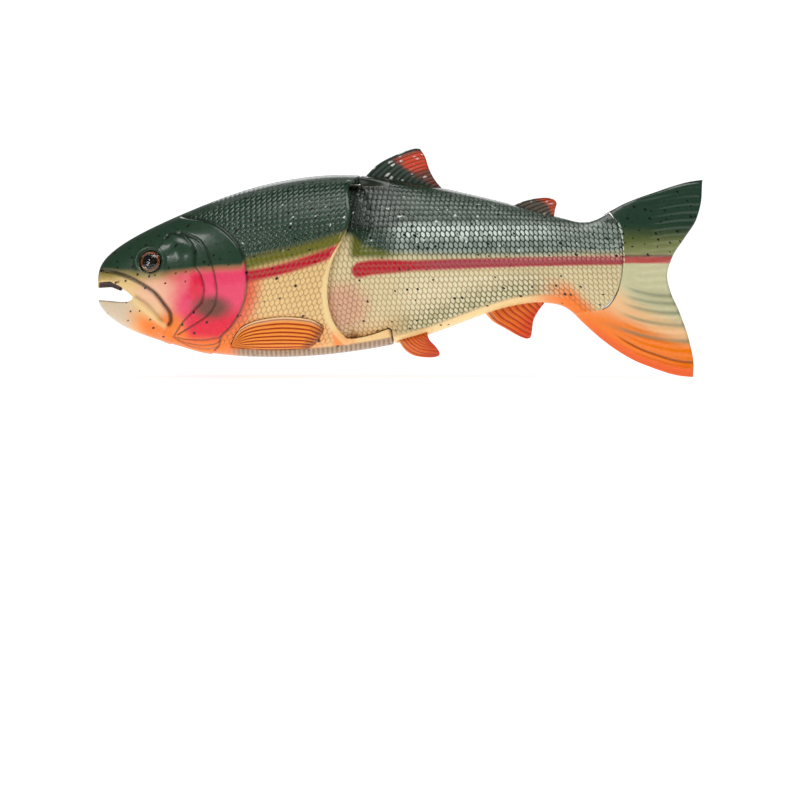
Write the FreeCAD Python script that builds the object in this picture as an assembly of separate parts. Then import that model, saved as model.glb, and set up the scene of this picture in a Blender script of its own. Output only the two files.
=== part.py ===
"""Two-section swimbait shaped like a trout, in millimetres.

The head and shoulders are a hollow front section, the body behind them is a hollow rear section,
and an upright hinge pin joins the two. The nose points along -X, the tail along +X and the back
along +Z. The origin is the front mouth of the line tube, in the fish's mouth, on the mid-plane.
"""
import FreeCAD
import Part
import math
import os

V = FreeCAD.Vector
UP = V(0, 0, 1)
ACROSS = V(0, 1, 0)

# ---- driving dimensions --------------------------------------------------------------------------
overall_length = 254.0      # nose to tail tip
body_depth = 75.0           # back to belly at the deepest place
body_width = 39.0           # across the shoulders
mouth_depth = 16.0          # nose to the line tube's front mouth, which is the origin

wall = 2.2                  # shell wall
seat_gap = 0.1              # glued seats: fins, eyes, tail
press_gap = 0.02            # pressed or cast-in seats: pins, bushes, tube, ballast

hinge_from_nose = 100.0     # nose to the hinge axis
swing_deg = 30.0            # swing of the rear section each way
swing_spare_deg = 4.5       # angle left over at the end of the swing
skirt_wall = 2.2            # front section's wall round the barrel
joint_gap = 0.6             # running gap round the barrel
knuckle_radius = 10.0       # round end of the front section's back, over the barrel
knuckle_height = 4.0        # thickness of that knuckle under the back line
shelf_radius = 24.2         # round end of the front section's belly, under the barrel
shelf_height = 5.2          # thickness of that shelf at the hinge axis
shelf_rise = 5.5            # how much the shelf's top rises from the axis to its rim
pin_radius = 1.5
pin_running_gap = 0.05
pin_grip = 2.8              # how far the pin goes into the knuckle and the shelf
bush_wall = 0.9
bush_length = 12.0
bush_stand = 0.45           # the bushes stand out of the barrel's ends, and bear on the front section

eye_radius = 4.6
eye_from_nose = 22.6
eye_height = 15.0           # over the origin
eye_turn_deg = 16.0         # how far each eye looks forward
eye_tilt_deg = 9.0          # and how far it looks up
iris_thickness = 1.4
lens_height = 2.0
pupil_radius = 2.7
pupil_thickness = 0.6
eye_sink = 1.9              # pocket floor under the head's surface

tube_bore_radius = 1.1
tube_wall = 0.5
tube_slope_deg = 29.0       # the line tube falls towards the belly at this angle

palate_drop = 2.4           # how far the palate hangs below the upper lip
palate_half_width = 3.0

boss_radius = 3.0
peg_radius = 1.4
peg_length = 3.0

ballast_front_size = (22.0, 9.0, 7.0)
ballast_front_at = (hinge_from_nose - 25.0, 5.7)   # middle from the nose, height over the belly line
ballast_rear_size = (16.0, 7.0, 6.0)
ballast_rear_at = (hinge_from_nose + 46.0, 7.6)

fin_thickness = 1.8
fin_tab_depth = 3.0         # how deep a fin's root is let into the body
pectoral_rise = 0.7         # the pectoral fin stands this proud of the side
pectoral_depth = 0.9        # and is let into it this deep
pelvic_splay_deg = 20.0
pelvic_half_spacing = 3.6   # mid-plane to each pelvic fin's root

tail_flex_deg = 25.0        # how far the soft tail bends each way
tail_spare_deg = 9.0        # angle left over at the end of the bend
tail_bend_from_nose = 226.0
tail_bead_radius = 1.9
tail_bead_gap = 0.35
tail_seam_gap = 0.2         # between the rear section's end and the tail's skin
plug_wall = 1.6             # shell wall round the tail's plug
plug_from_nose = 205.0
plug_low, plug_high = 0.0, 26.0
tail_pin_radius = 1.0
tail_pin_from_nose = 210.0
tail_pin_heights = (6.5, 18.5)

# ---- the fish's outline --------------------------------------------------------------------------
# Each row: distance from the nose as a share of the overall length, back and belly heights over the
# origin as shares of the body depth, half width as a share of half the body width, squareness.
STATIONS = [
    (0.000, 0.120, -0.015, 0.13, 2.0),
    (0.004, 0.172, -0.045, 0.25, 2.0),
    (0.016, 0.230, -0.102, 0.39, 2.1),
    (0.036, 0.286, -0.152, 0.49, 2.1),
    (0.066, 0.348, -0.201, 0.61, 2.1),
    (0.106, 0.415, -0.247, 0.72, 2.1),
    (0.156, 0.489, -0.294, 0.83, 2.1),
    (0.215, 0.566, -0.325, 0.92, 2.1),
    (0.275, 0.628, -0.336, 0.98, 2.05),
    (0.334, 0.666, -0.333, 1.00, 2.05),
    (0.384, 0.683, -0.320, 0.99, 2.0),
    (0.424, 0.683, -0.303, 0.97, 2.0),
    (0.474, 0.668, -0.275, 0.93, 2.0),
    (0.533, 0.635, -0.225, 0.85, 2.0),
    (0.592, 0.594, -0.155, 0.74, 2.0),
    (0.650, 0.549, -0.084, 0.62, 2.0),
    (0.699, 0.506, -0.043, 0.51, 2.0),
    (0.740, 0.467, -0.034, 0.42, 1.95),
    (0.772, 0.440, -0.056, 0.36, 1.8),
    (0.808, 0.421, -0.160, 0.30, 1.6),
    (0.831, 0.447, -0.229, 0.27, 1.5),
    (0.861, 0.507, -0.303, 0.225, 1.5),
    (0.890, 0.550, -0.359, 0.18, 1.6),
    (0.921, 0.587, -0.400, 0.14, 1.7),
    (0.950, 0.621, -0.432, 0.105, 2.0),
    (0.980, 0.648, -0.448, 0.075, 2.2),
    (1.002, 0.658, -0.450, 0.055, 2.4),
]

# The rear section's sides are dished behind the joint, so that the front section's skirts have room
# as it swings. Along: distance behind the hinge axis, and share of the full dish. Up: height in the
# section, from -1 at the belly to 1 at the back, and share of the half width taken away.
DISH_ALONG = [(0, 1.0), (11, 1.0), (17, 0.72), (24, 0.44), (33, 0.20), (44, 0.0), (60, 0.0)]
DISH_UP = [(-1.0, 0.0), (-0.93, 0.0), (-0.85, 0.26), (-0.60, 0.27), (0.0, 0.25), (0.35, 0.36),
           (0.60, 0.47), (0.83, 0.50), (0.91, 0.36), (0.955, 0.0), (1.0, 0.0)]

# The skirts' rim in side view: height as a share of the socket's height, and distance behind the
# hinge axis.
RIM = [(-0.04, 6.5), (0.02, 4.2), (0.08, 0.8), (0.20, -2.7), (0.36, -3.4), (0.53, -1.0), (0.68, 3.7),
       (0.80, 6.0), (0.92, 5.5), (1.00, 5.2)]

# Outlines in side view, each point a distance from the nose and a height over the origin.
MOUTH = [(-3.0, 6.0), (5.7, 6.6), (9.9, 4.9), (15.0, 0.6), (15.6, -0.7), (12.4, -2.1), (8.2, -2.1),
         (-3.0, -0.9)]
PECTORAL_TOP = [(55.7, -21.0), (57.6, -16.2), (61.0, -12.0), (68.2, -9.1), (79.0, -7.8), (89.0, -8.7),
                (95.2, -11.8)]
PECTORAL_END = [(95.2, -11.8), (94.9, -13.6), (92.8, -17.6), (88.4, -21.5)]
PECTORAL_FOOT = [(88.4, -21.5), (72.0, -21.9), (55.7, -21.0)]
TAIL_SEAM = [(211.0, 40.0), (214.3, 35.7), (216.6, 33.0), (219.7, 24.0), (220.3, 15.6), (218.5, 3.8),
             (212.2, -5.0), (204.2, -10.5), (197.0, -13.5)]
TAIL_EDGE = [(256.5, 56.0), (253.8, 49.0), (253.4, 41.5), (251.3, 32.8), (246.3, 24.8), (241.2, 16.8),
             (239.0, 9.0), (240.6, 2.0), (244.0, -5.6), (248.4, -18.0), (250.4, -30.0), (250.8, -38.0)]
DORSAL = [(111.4, 51.7), (117.5, 55.7), (123.5, 59.0), (129.3, 61.3), (133.6, 62.4), (135.8, 62.0),
          (137.2, 59.2), (139.1, 53.6), (141.2, 49.6), (144.6, 45.9)]
ADIPOSE = [(173.4, 38.5), (178.5, 40.2), (184.1, 41.5), (188.2, 41.8), (191.6, 40.9), (192.6, 39.3),
           (191.9, 36.6), (191.4, 34.4)]
PELVIC = [(125.8, -19.8), (129.4, -23.4), (134.0, -25.9), (139.5, -26.5), (142.8, -26.2), (143.6, -25.0),
          (142.1, -22.3), (139.2, -18.9), (138.2, -16.1)]
ANAL = [(161.9, -7.6), (170.9, -13.0), (178.4, -17.0), (181.0, -17.5), (182.1, -15.6), (182.9, -10.0),
        (184.6, -6.4), (187.7, -2.7)]

# The fins keep their places on the fish when its length or depth changes.
drawn_length, drawn_depth = 254.0, 75.0     # the size that their outlines are drawn at


def on_body(outline):
    along, up = overall_length / drawn_length, body_depth / drawn_depth
    return [(d * along, z * up) for d, z in outline]


PECTORAL_TOP, PECTORAL_END, PECTORAL_FOOT = map(on_body, (PECTORAL_TOP, PECTORAL_END, PECTORAL_FOOT))
DORSAL, ADIPOSE, PELVIC, ANAL = map(on_body, (DORSAL, ADIPOSE, PELVIC, ANAL))

SECTION_POINTS = 44
reach = 2 * body_width       # past the fish on either side, for cutting tools
above = 2 * body_depth


def blend(table, x, column=1):
    """Smooth value of a table's column at x: a cubic through the rows, with no overshoot."""
    rows = [(row[0], row[column]) for row in table]
    if x <= rows[0][0]:
        return rows[0][1]
    if x >= rows[-1][0]:
        return rows[-1][1]
    slopes = [(b[1] - a[1]) / (b[0] - a[0]) for a, b in zip(rows, rows[1:])]
    tangents = [slopes[0]]
    for before, after in zip(slopes, slopes[1:]):
        same_way = before * after > 0
        tangents.append(2 * before * after / (before + after) if same_way else 0.0)
    tangents.append(slopes[-1])
    i = max(k for k in range(len(slopes)) if rows[k][0] <= x)
    span = rows[i + 1][0] - rows[i][0]
    t = (x - rows[i][0]) / span
    return (rows[i][1] * (2 * t**3 - 3 * t**2 + 1) + rows[i + 1][1] * (3 * t**2 - 2 * t**3)
            + span * (tangents[i] * (t**3 - 2 * t**2 + t) + tangents[i + 1] * (t**3 - t**2)))


def station(from_nose):
    """Back height, belly height, half width and squareness at a distance from the nose."""
    share = from_nose / overall_length
    return (blend(STATIONS, share, 1) * body_depth, blend(STATIONS, share, 2) * body_depth,
            blend(STATIONS, share, 3) * body_width / 2, blend(STATIONS, share, 4))


def row_x(from_nose):
    return from_nose - mouth_depth


def half_width_at(from_nose, z):
    """The plain body's half width at a height, or 0 outside the section."""
    back, belly, half, square = station(from_nose)
    middle = (back + belly) / 2
    share = abs(z - middle) / ((back - belly) / 2)
    return half * (1 - share**square) ** (1 / square) if share < 1 else 0.0


# ---- solids of the fish --------------------------------------------------------------------------
def section(from_nose, inset, dished):
    """A closed section of the fish, as a periodic spline that starts at the belly."""
    back, belly, half, square = station(from_nose)
    middle = (back + belly) / 2
    rise = (back - belly) / 2
    points = []
    for k in range(SECTION_POINTS):
        a = 2 * math.pi * k / SECTION_POINTS - math.pi / 2
        c, s = math.cos(a), math.sin(a)
        y = math.copysign(abs(c) ** (2 / square), c)
        z = math.copysign(abs(s) ** (2 / square), s)
        narrow = 1.0
        if dished:
            narrow = 1 - blend(DISH_ALONG, from_nose - hinge_from_nose) * blend(DISH_UP, z)
        points.append(V(row_x(from_nose), y * max(half * narrow - inset, 0.3), middle + z * (rise - inset)))
    curve = Part.BSplineCurve()
    curve.interpolate(Points=points, PeriodicFlag=True)
    return Part.Wire([curve.toShape()])


def fish(start, end, inset=0.0, dished=False):
    """The fish between two distances from the nose, shrunk by inset."""
    own = [row[0] * overall_length for row in STATIONS]
    dish = [hinge_from_nose + row[0] for row in DISH_ALONG] if dished else []
    inside = sorted(d for d in own + dish if start + 1.5 < d < end - 1.5)
    distances = [start]
    for d in inside + [end]:
        if d - distances[-1] > 1.4:
            distances.append(d)
    return Part.makeLoft([section(d, inset, dished) for d in distances], True, False)


def spline(points):
    """An edge through (distance from the nose, height) points on the mid-plane."""
    curve = Part.BSplineCurve()
    curve.interpolate([V(row_x(d), 0, z) for d, z in points])
    return curve.toShape()


def lines(points):
    at = [V(row_x(d), 0, z) for d, z in points]
    return [Part.LineSegment(a, b).toShape() for a, b in zip(at, at[1:])]


def slab(edges, half_thickness):
    """The side-view outline that these edges close, thickened both ways across the fish."""
    face = Part.Face(Part.Wire(Part.__sortEdges__(edges)))
    face.translate(V(0, -half_thickness, 0))
    return face.extrude(V(0, 2 * half_thickness, 0))


def block(x0, x1, half_width, z0, z1):
    """A block across the mid-plane, between two distances from the nose."""
    return Part.makeBox(x1 - x0, 2 * half_width, z1 - z0, V(row_x(x0), -half_width, z0))


def upright(from_nose, radius, z0, z1):
    return Part.makeCylinder(radius, z1 - z0, V(row_x(from_nose), 0, z0), UP)


def crosswise(from_nose, z, radius, y0, y1):
    return Part.makeCylinder(radius, y1 - y0, V(row_x(from_nose), y0, z), ACROSS)


def wedge(from_nose, turn_deg, half_deg):
    """An upright wedge with its edge on the mid-plane, open towards turn_deg."""
    edge = V(row_x(from_nose), 0, -above)
    corners = [edge]
    for k in range(5):
        a = math.radians(turn_deg + half_deg * (k / 2 - 1))
        corners.append(edge + V(math.cos(a), math.sin(a), 0) * overall_length)
    return Part.Face(Part.makePolygon(corners + [edge])).extrude(V(0, 0, 2 * above))


# ---- the joint -----------------------------------------------------------------------------------
# The rear section ends forwards in an upright barrel round the hinge pin. The front section has a
# socket for it, with a knuckle over it, a shelf under it and skirts at its sides.
hinge_x = row_x(hinge_from_nose)
hinge_back, hinge_belly = station(hinge_from_nose)[:2]
knuckle_z = hinge_back - knuckle_height
shelf_z = hinge_belly + shelf_height


def spin(edges):
    """A solid of revolution about the hinge axis from edges in the side view."""
    face = Part.Face(Part.Wire(Part.__sortEdges__(edges)))
    return face.revolve(V(hinge_x, 0, 0), UP, 360)


def shelf_top(radius, gap):
    """Height of the shelf's top surface, plus a gap, at a distance from the hinge axis."""
    return shelf_z + gap + shelf_rise * (radius / shelf_radius) ** 2


def barrel(gap):
    """The barrel, this much smaller than its socket; a negative gap makes it larger."""
    low, high = shelf_z + gap, knuckle_z - gap
    side = []
    for k in range(11):
        z = low + (high - low) * (1 - math.cos(math.pi * k / 10)) / 2
        z_on_body = min(max(z, shelf_z), knuckle_z)
        radius = half_width_at(hinge_from_nose, z_on_body) - skirt_wall - gap
        side.append((hinge_from_nose + radius, z))
    foot = side[0][0] - hinge_from_nose
    side[0] = (side[0][0], shelf_top(foot, gap))
    axis = hinge_from_nose
    bottom = [(axis + foot * k / 4, shelf_top(foot * k / 4, gap)) for k in range(5)]
    return spin([spline(bottom), spline(side)] + lines([side[-1], (axis, high), bottom[0]]))


def shelf_blank(gap):
    """Everything under the shelf's dished top, out to the shelf's round rim."""
    axis = hinge_from_nose
    radius = shelf_radius + gap
    top = [(axis + radius * k / 6, shelf_top(radius * k / 6, gap)) for k in range(7)]
    return spin([spline(top)] + lines([top[-1], (axis + radius, -above), (axis, -above), top[0]]))


def knuckle_blank(gap):
    return upright(hinge_from_nose, knuckle_radius + gap, knuckle_z - gap, above)


def rim_behind_axis(z):
    return blend(RIM, (z - shelf_z) / (knuckle_z - shelf_z))


def ahead_of_rim():
    """Everything ahead of the skirts' rim, right across the fish."""
    high = knuckle_z - shelf_z
    rim = [(hinge_from_nose + behind, shelf_z + share * high) for share, behind in RIM]
    front = -overall_length
    rest = [rim[-1], (hinge_from_nose, knuckle_z), (hinge_from_nose, above), (front, above),
            (front, -above), (hinge_from_nose, -above), (hinge_from_nose, rim[0][1]), rim[0]]
    return slab([spline(rim)] + lines(rest), reach)


def swing_relief(gap, neck_spare_deg):
    """The ring that the skirts sweep, less the neck that joins the barrel to the rear section."""
    levels = [shelf_z - gap + (knuckle_z - shelf_z + 2 * gap) * k / 12 for k in range(13)]
    rows, neck = [], []
    for z in levels:
        on_body = min(max(z, shelf_z), knuckle_z)
        half = half_width_at(hinge_from_nose, on_body)
        behind = rim_behind_axis(on_body)
        rows.append((hinge_from_nose + math.hypot(behind, half) + gap, z))
        inside = math.acos(behind / (half - skirt_wall))
        rim_deg = math.degrees(min(math.atan2(half, behind), inside))
        a = math.radians(min(rim_deg - swing_deg - swing_spare_deg, 72) - neck_spare_deg)
        far = 2 * body_width
        neck.append(Part.makePolygon([V(hinge_x, 0, z), V(hinge_x + far * math.cos(a), -far * math.sin(a), z),
                                      V(hinge_x + far * math.cos(a), far * math.sin(a), z), V(hinge_x, 0, z)]))
    axis = hinge_from_nose
    ring = spin(lines([(axis, rows[0][1])] + rows + [(axis, rows[-1][1]), (axis, rows[0][1])]))
    return ring.cut(Part.makeLoft(neck, True, True))


# ---- the two sections before they are hollowed ---------------------------------------------------
whole_start, whole_end = 0.0, overall_length * STATIONS[-1][0]
seam_from_nose = max(d for d, z in TAIL_SEAM)


def behind_seam(shift):
    """Everything behind the curved seam between the rear section and the tail."""
    seam = [(d + shift, z) for d, z in TAIL_SEAM]
    far = 2 * overall_length
    rest = [seam[-1], (seam[-1][0], -above), (far, -above), (far, above), (seam[0][0], above), seam[0]]
    return slab([spline(seam)] + lines(rest), reach)


mouth = slab(lines(MOUTH + MOUTH[:1]), reach)
palate_edge = [(d, z - palate_drop) for d, z in MOUTH[:3]]
palate = slab(lines(MOUTH[:3] + palate_edge[::-1] + MOUTH[:1]), palate_half_width)

front_body = fish(whole_start, hinge_from_nose + shelf_radius + 5)
front_outer = front_body.common(ahead_of_rim().fuse(shelf_blank(0)).fuse(knuckle_blank(0)))
front_outer = front_outer.cut(barrel(0)).cut(mouth.cut(palate))

rear_outer = fish(hinge_from_nose + 2, seam_from_nose + 2, dished=True)
rear_outer = rear_outer.cut(swing_relief(joint_gap, 0)).fuse(barrel(joint_gap))
rear_outer = rear_outer.cut(shelf_blank(joint_gap)).cut(knuckle_blank(joint_gap)).cut(behind_seam(0))


# ---- fins ----------------------------------------------------------------------------------------
def root_line(start, end, on_back, depth):
    """Points this deep under the back or over the belly."""
    points = []
    for k in range(6):
        d = start + (end - start) * k / 5
        z = station(d)[0] - depth if on_back else station(d)[1] + depth
        points.append((d, z))
    return points


def fin(edge, on_back):
    """A flat fin with its root let into the body."""
    root = root_line(edge[-1][0], edge[0][0], on_back, fin_tab_depth)
    outline = [spline(edge), spline(root)] + lines([edge[-1], root[0]]) + lines([root[-1], edge[0]])
    return slab(outline, fin_thickness / 2)


def fin_slot(edge, on_back, grow):
    """The slot for a fin's root, this much larger than the root all round."""
    start, end = edge[0][0] - grow, edge[-1][0] + grow
    inner = root_line(start, end, on_back, fin_tab_depth + grow)
    outer = root_line(end, start, on_back, -4.0)
    outline = [spline(inner), spline(outer)] + lines([inner[-1], outer[0]]) + lines([outer[-1], inner[0]])
    return slab(outline, fin_thickness / 2 + grow)


def splay(shape, side):
    """Leans a pelvic fin out from the belly on one side."""
    moved = shape.copy()
    middle = (PELVIC[0][0] + PELVIC[-1][0]) / 2
    pivot = V(row_x(middle), 0, station(middle)[1])
    slope = math.atan2(PELVIC[-1][1] - PELVIC[0][1], PELVIC[-1][0] - PELVIC[0][0])
    moved.rotate(pivot, V(math.cos(slope), 0, math.sin(slope)), side * pelvic_splay_deg)
    moved.translate(V(0, side * pelvic_half_spacing, 0.8))
    return moved


SIDES = {"left": -1, "right": 1}
dorsal_fin = fin(DORSAL, True)
adipose_fin = fin(ADIPOSE, True)
anal_fin = fin(ANAL, False)
pelvic_fins = {name: splay(fin(PELVIC, False), side) for name, side in SIDES.items()}


def fin_slots(grow):
    slots = [fin_slot(DORSAL, True, grow), fin_slot(ADIPOSE, True, grow), fin_slot(ANAL, False, grow)]
    return slots + [splay(fin_slot(PELVIC, False, grow), side) for side in SIDES.values()]


def pectoral_column(side, shrink):
    """The pectoral fin's outline, out from the mid-plane to one side."""
    edges = [PECTORAL_TOP, PECTORAL_END, PECTORAL_FOOT]
    limits = [[f(point[k] for edge in edges for point in edge) for f in (min, max)] for k in (0, 1)]
    middle = [(low + high) / 2 for low, high in limits]
    scale = [1 - 2 * shrink / (high - low) for low, high in limits]
    outline = [spline([tuple(middle[k] + (point[k] - middle[k]) * scale[k] for k in (0, 1))
                       for point in edge]) for edge in edges]
    return Part.Face(Part.Wire(Part.__sortEdges__(outline))).extrude(V(0, side * reach, 0))


def side_layer(depth):
    """The fish round the pectoral fins, with its skin this deep."""
    return fish(PECTORAL_TOP[0][0] - 4, PECTORAL_TOP[-1][0] + 4, depth)


def pectoral_recess(side):
    return pectoral_column(side, 0).cut(side_layer(pectoral_depth + seat_gap))


def pectoral_fin(side):
    return pectoral_column(side, seat_gap).common(side_layer(-pectoral_rise)).cut(side_layer(pectoral_depth))


# ---- eyes, ballast, tube, pin and bushes ---------------------------------------------------------
def at_eye(shape, side):
    """Moves a shape built up from an eye pocket's floor to its place on one side of the head."""
    turn, tilt = math.radians(eye_turn_deg), math.radians(eye_tilt_deg)
    out = V(-math.sin(turn) * math.cos(tilt), side * math.cos(turn) * math.cos(tilt), math.sin(tilt))
    on_skin = V(row_x(eye_from_nose), side * half_width_at(eye_from_nose, eye_height), eye_height)
    moved = shape.copy()
    moved.Placement = FreeCAD.Placement(on_skin - out * eye_sink, FreeCAD.Rotation(UP, out))
    return moved


def disc(radius, z0, z1):
    return Part.makeCylinder(radius, z1 - z0, V(0, 0, z0), UP)


iris_top = press_gap + iris_thickness
pupil_foot = iris_top + press_gap
dome_radius = (eye_radius**2 + lens_height**2) / (2 * lens_height)
iris = disc(eye_radius, press_gap, iris_top)
pupil = disc(pupil_radius, pupil_foot, pupil_foot + pupil_thickness)
dome = Part.makeSphere(dome_radius, V(0, 0, pupil_foot + lens_height - dome_radius))
pupil_room = disc(pupil_radius + press_gap, 0, pupil_foot + pupil_thickness + press_gap)
lens = dome.common(disc(eye_radius, pupil_foot, 10)).cut(pupil_room)
eye_pocket = disc(eye_radius + seat_gap, 0, 10)


def tube_rod(radius, start, end):
    """A rod on the line tube's axis, between two distances along it from the origin."""
    a = math.radians(tube_slope_deg)
    along = V(math.cos(a), 0, -math.sin(a))
    return Part.makeCylinder(radius, end - start, along * start, along)


tube_radius = tube_bore_radius + tube_wall
line_tube = tube_rod(tube_radius, 0, overall_length).common(front_body)
line_tube = line_tube.cut(tube_rod(tube_bore_radius, -5, overall_length))

pin_low, pin_high = shelf_z - pin_grip, knuckle_z + pin_grip
hinge_pin = upright(hinge_from_nose, pin_radius, pin_low, pin_high)
bush_bore = pin_radius + pin_running_gap
bush_radius = bush_bore + bush_wall
bush_lower_z = shelf_z + joint_gap - bush_stand
bush_upper_z = knuckle_z - joint_gap + bush_stand - bush_length


def bush(z):
    tube = upright(hinge_from_nose, bush_radius, z, z + bush_length)
    return tube.cut(upright(hinge_from_nose, bush_bore, z - 1, z + bush_length + 1))


def slug(size, at, grow):
    length, width, height = size
    z = station(at[0])[1] + at[1]
    return block(at[0] - length / 2 - grow, at[0] + length / 2 + grow, width / 2 + grow,
                 z - height / 2 - grow, z + height / 2 + grow)


# ---- tail ----------------------------------------------------------------------------------------
# The soft tail has a hard hinge line in place of its bend: an upright bead on the blade, in a groove
# in the root, with room to turn either way.
tail = fish(196.0, whole_end).common(behind_seam(tail_seam_gap))
tail_rest = [TAIL_EDGE[-1], (TAIL_EDGE[-1][0], -above), (0.0, -above), (0.0, above),
             (TAIL_EDGE[0][0], above), TAIL_EDGE[0]]
tail = tail.common(slab([spline(TAIL_EDGE)] + lines(tail_rest), reach))
open_half_deg = (180 - tail_flex_deg - tail_spare_deg) / 2
bead = upright(tail_bend_from_nose, tail_bead_radius, -above, above)
groove = upright(tail_bend_from_nose, tail_bead_radius + tail_bead_gap, -above, above)
tail_blade = tail.common(wedge(tail_bend_from_nose, 0, open_half_deg).fuse(bead))
tail_root = tail.common(wedge(tail_bend_from_nose, 180, open_half_deg)).cut(groove)


def plug(gap):
    """The tail's plug in the end of the rear section, this much smaller than its socket."""
    room = block(plug_from_nose + gap, seam_from_nose + 1, reach, plug_low + gap, plug_high - gap)
    return fish(plug_from_nose - 2, seam_from_nose + 1.9, plug_wall + gap).common(room)


tail_root = tail_root.fuse(plug(seat_gap))


def tail_pin(z, gap):
    half = half_width_at(tail_pin_from_nose, z) - 0.7
    return crosswise(tail_pin_from_nose, z, tail_pin_radius + gap, -half - gap, half + gap)


for z in tail_pin_heights:
    tail_root = tail_root.cut(tail_pin(z, press_gap))

# ---- hollow shells -------------------------------------------------------------------------------
FRONT_PEGS = [(38.0, 20.0), (66.0, 38.0), (64.0, 2.0)]
REAR_PEGS = [(127.0, 28.0), (132.0, -2.0), (166.0, 26.0), (188.0, 8.0)]

front_cavity = fish(29.0, 88.0, wall).cut(barrel(-wall)).cut(slug(ballast_front_size, ballast_front_at, 1.5))
for d, z in FRONT_PEGS:
    front_cavity = front_cavity.cut(crosswise(d, z, boss_radius, -reach, reach))

rear_cavity = fish(hinge_from_nose + 13, plug_from_nose - 3, wall, dished=True)
rear_cavity = rear_cavity.cut(swing_relief(joint_gap + wall, 8)).cut(shelf_blank(joint_gap + wall))
rear_cavity = rear_cavity.cut(knuckle_blank(joint_gap + wall))
rear_cavity = rear_cavity.cut(slug(ballast_rear_size, ballast_rear_at, 1.5))
for keep in fin_slots(1.6):
    rear_cavity = rear_cavity.cut(keep)
for d, z in REAR_PEGS:
    rear_cavity = rear_cavity.cut(crosswise(d, z, boss_radius, -reach, reach))

front_whole = front_outer.cut(front_cavity).cut(slug(ballast_front_size, ballast_front_at, press_gap))
front_whole = front_whole.cut(tube_rod(tube_radius + press_gap, -1, overall_length))
front_whole = front_whole.cut(upright(hinge_from_nose, pin_radius + press_gap, pin_low - press_gap,
                                      pin_high + press_gap))
for side in SIDES.values():
    front_whole = front_whole.cut(at_eye(eye_pocket, side))
    front_whole = front_whole.cut(pectoral_recess(side))

rear_whole = rear_outer.cut(rear_cavity).cut(slug(ballast_rear_size, ballast_rear_at, press_gap))
rear_whole = rear_whole.cut(plug(0))
for z in tail_pin_heights:
    rear_whole = rear_whole.cut(tail_pin(z, press_gap))
for slot in fin_slots(seat_gap):
    rear_whole = rear_whole.cut(slot)
rear_whole = rear_whole.cut(upright(hinge_from_nose, bush_radius + 0.6, shelf_z, knuckle_z))
for z in (bush_lower_z, bush_upper_z):
    seat = upright(hinge_from_nose, bush_radius + 4, z, z + bush_length)
    seat = seat.common(barrel(joint_gap))
    rear_whole = rear_whole.fuse(seat)
rear_whole = rear_whole.cut(upright(hinge_from_nose, bush_radius + press_gap, shelf_z, knuckle_z))


def half_shell(whole, pegs, side):
    """One side's half of a section; the left half carries the locating pegs."""
    low = -reach if side < 0 else 0
    half = whole.common(Part.makeBox(2 * overall_length, reach, 2 * above, V(-overall_length, low, -above)))
    for d, z in pegs:
        if side < 0:
            half = half.fuse(crosswise(d, z, peg_radius, -1, peg_length))
        else:
            half = half.cut(crosswise(d, z, peg_radius + seat_gap, -1, peg_length + seat_gap))
    return half


# ---- the parts -----------------------------------------------------------------------------------
parts = {
    "line_tube": line_tube,
    "ballast_front": slug(ballast_front_size, ballast_front_at, 0),
    "ballast_rear": slug(ballast_rear_size, ballast_rear_at, 0),
    "hinge_pin": hinge_pin,
    "hinge_bush_lower": bush(bush_lower_z),
    "hinge_bush_upper": bush(bush_upper_z),
    "dorsal_fin": dorsal_fin,
    "adipose_fin": adipose_fin,
    "anal_fin": anal_fin,
    "tail_root": tail_root,
    "tail_blade": tail_blade,
    "tail_pin_lower": tail_pin(tail_pin_heights[0], 0),
    "tail_pin_upper": tail_pin(tail_pin_heights[1], 0),
}
for name, side in SIDES.items():
    parts["front_shell_" + name] = half_shell(front_whole, FRONT_PEGS, side)
    parts["rear_shell_" + name] = half_shell(rear_whole, REAR_PEGS, side)
    parts["pectoral_fin_" + name] = pectoral_fin(side)
    parts["pelvic_fin_" + name] = pelvic_fins[name]
    parts["eye_iris_" + name] = at_eye(iris, side)
    parts["eye_pupil_" + name] = at_eye(pupil, side)
    parts["eye_lens_" + name] = at_eye(lens, side)

os.makedirs("parts", exist_ok=True)
for name, shape in parts.items():
    solids = shape.Solids
    print(name, len(solids), shape.isValid(), round(shape.Volume, 1))
    (solids[0] if len(solids) == 1 else shape).exportStep("parts/%s.step" % name)
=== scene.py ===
import math

import bmesh
import bpy
import numpy as np
from mathutils import Matrix, Vector


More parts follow.
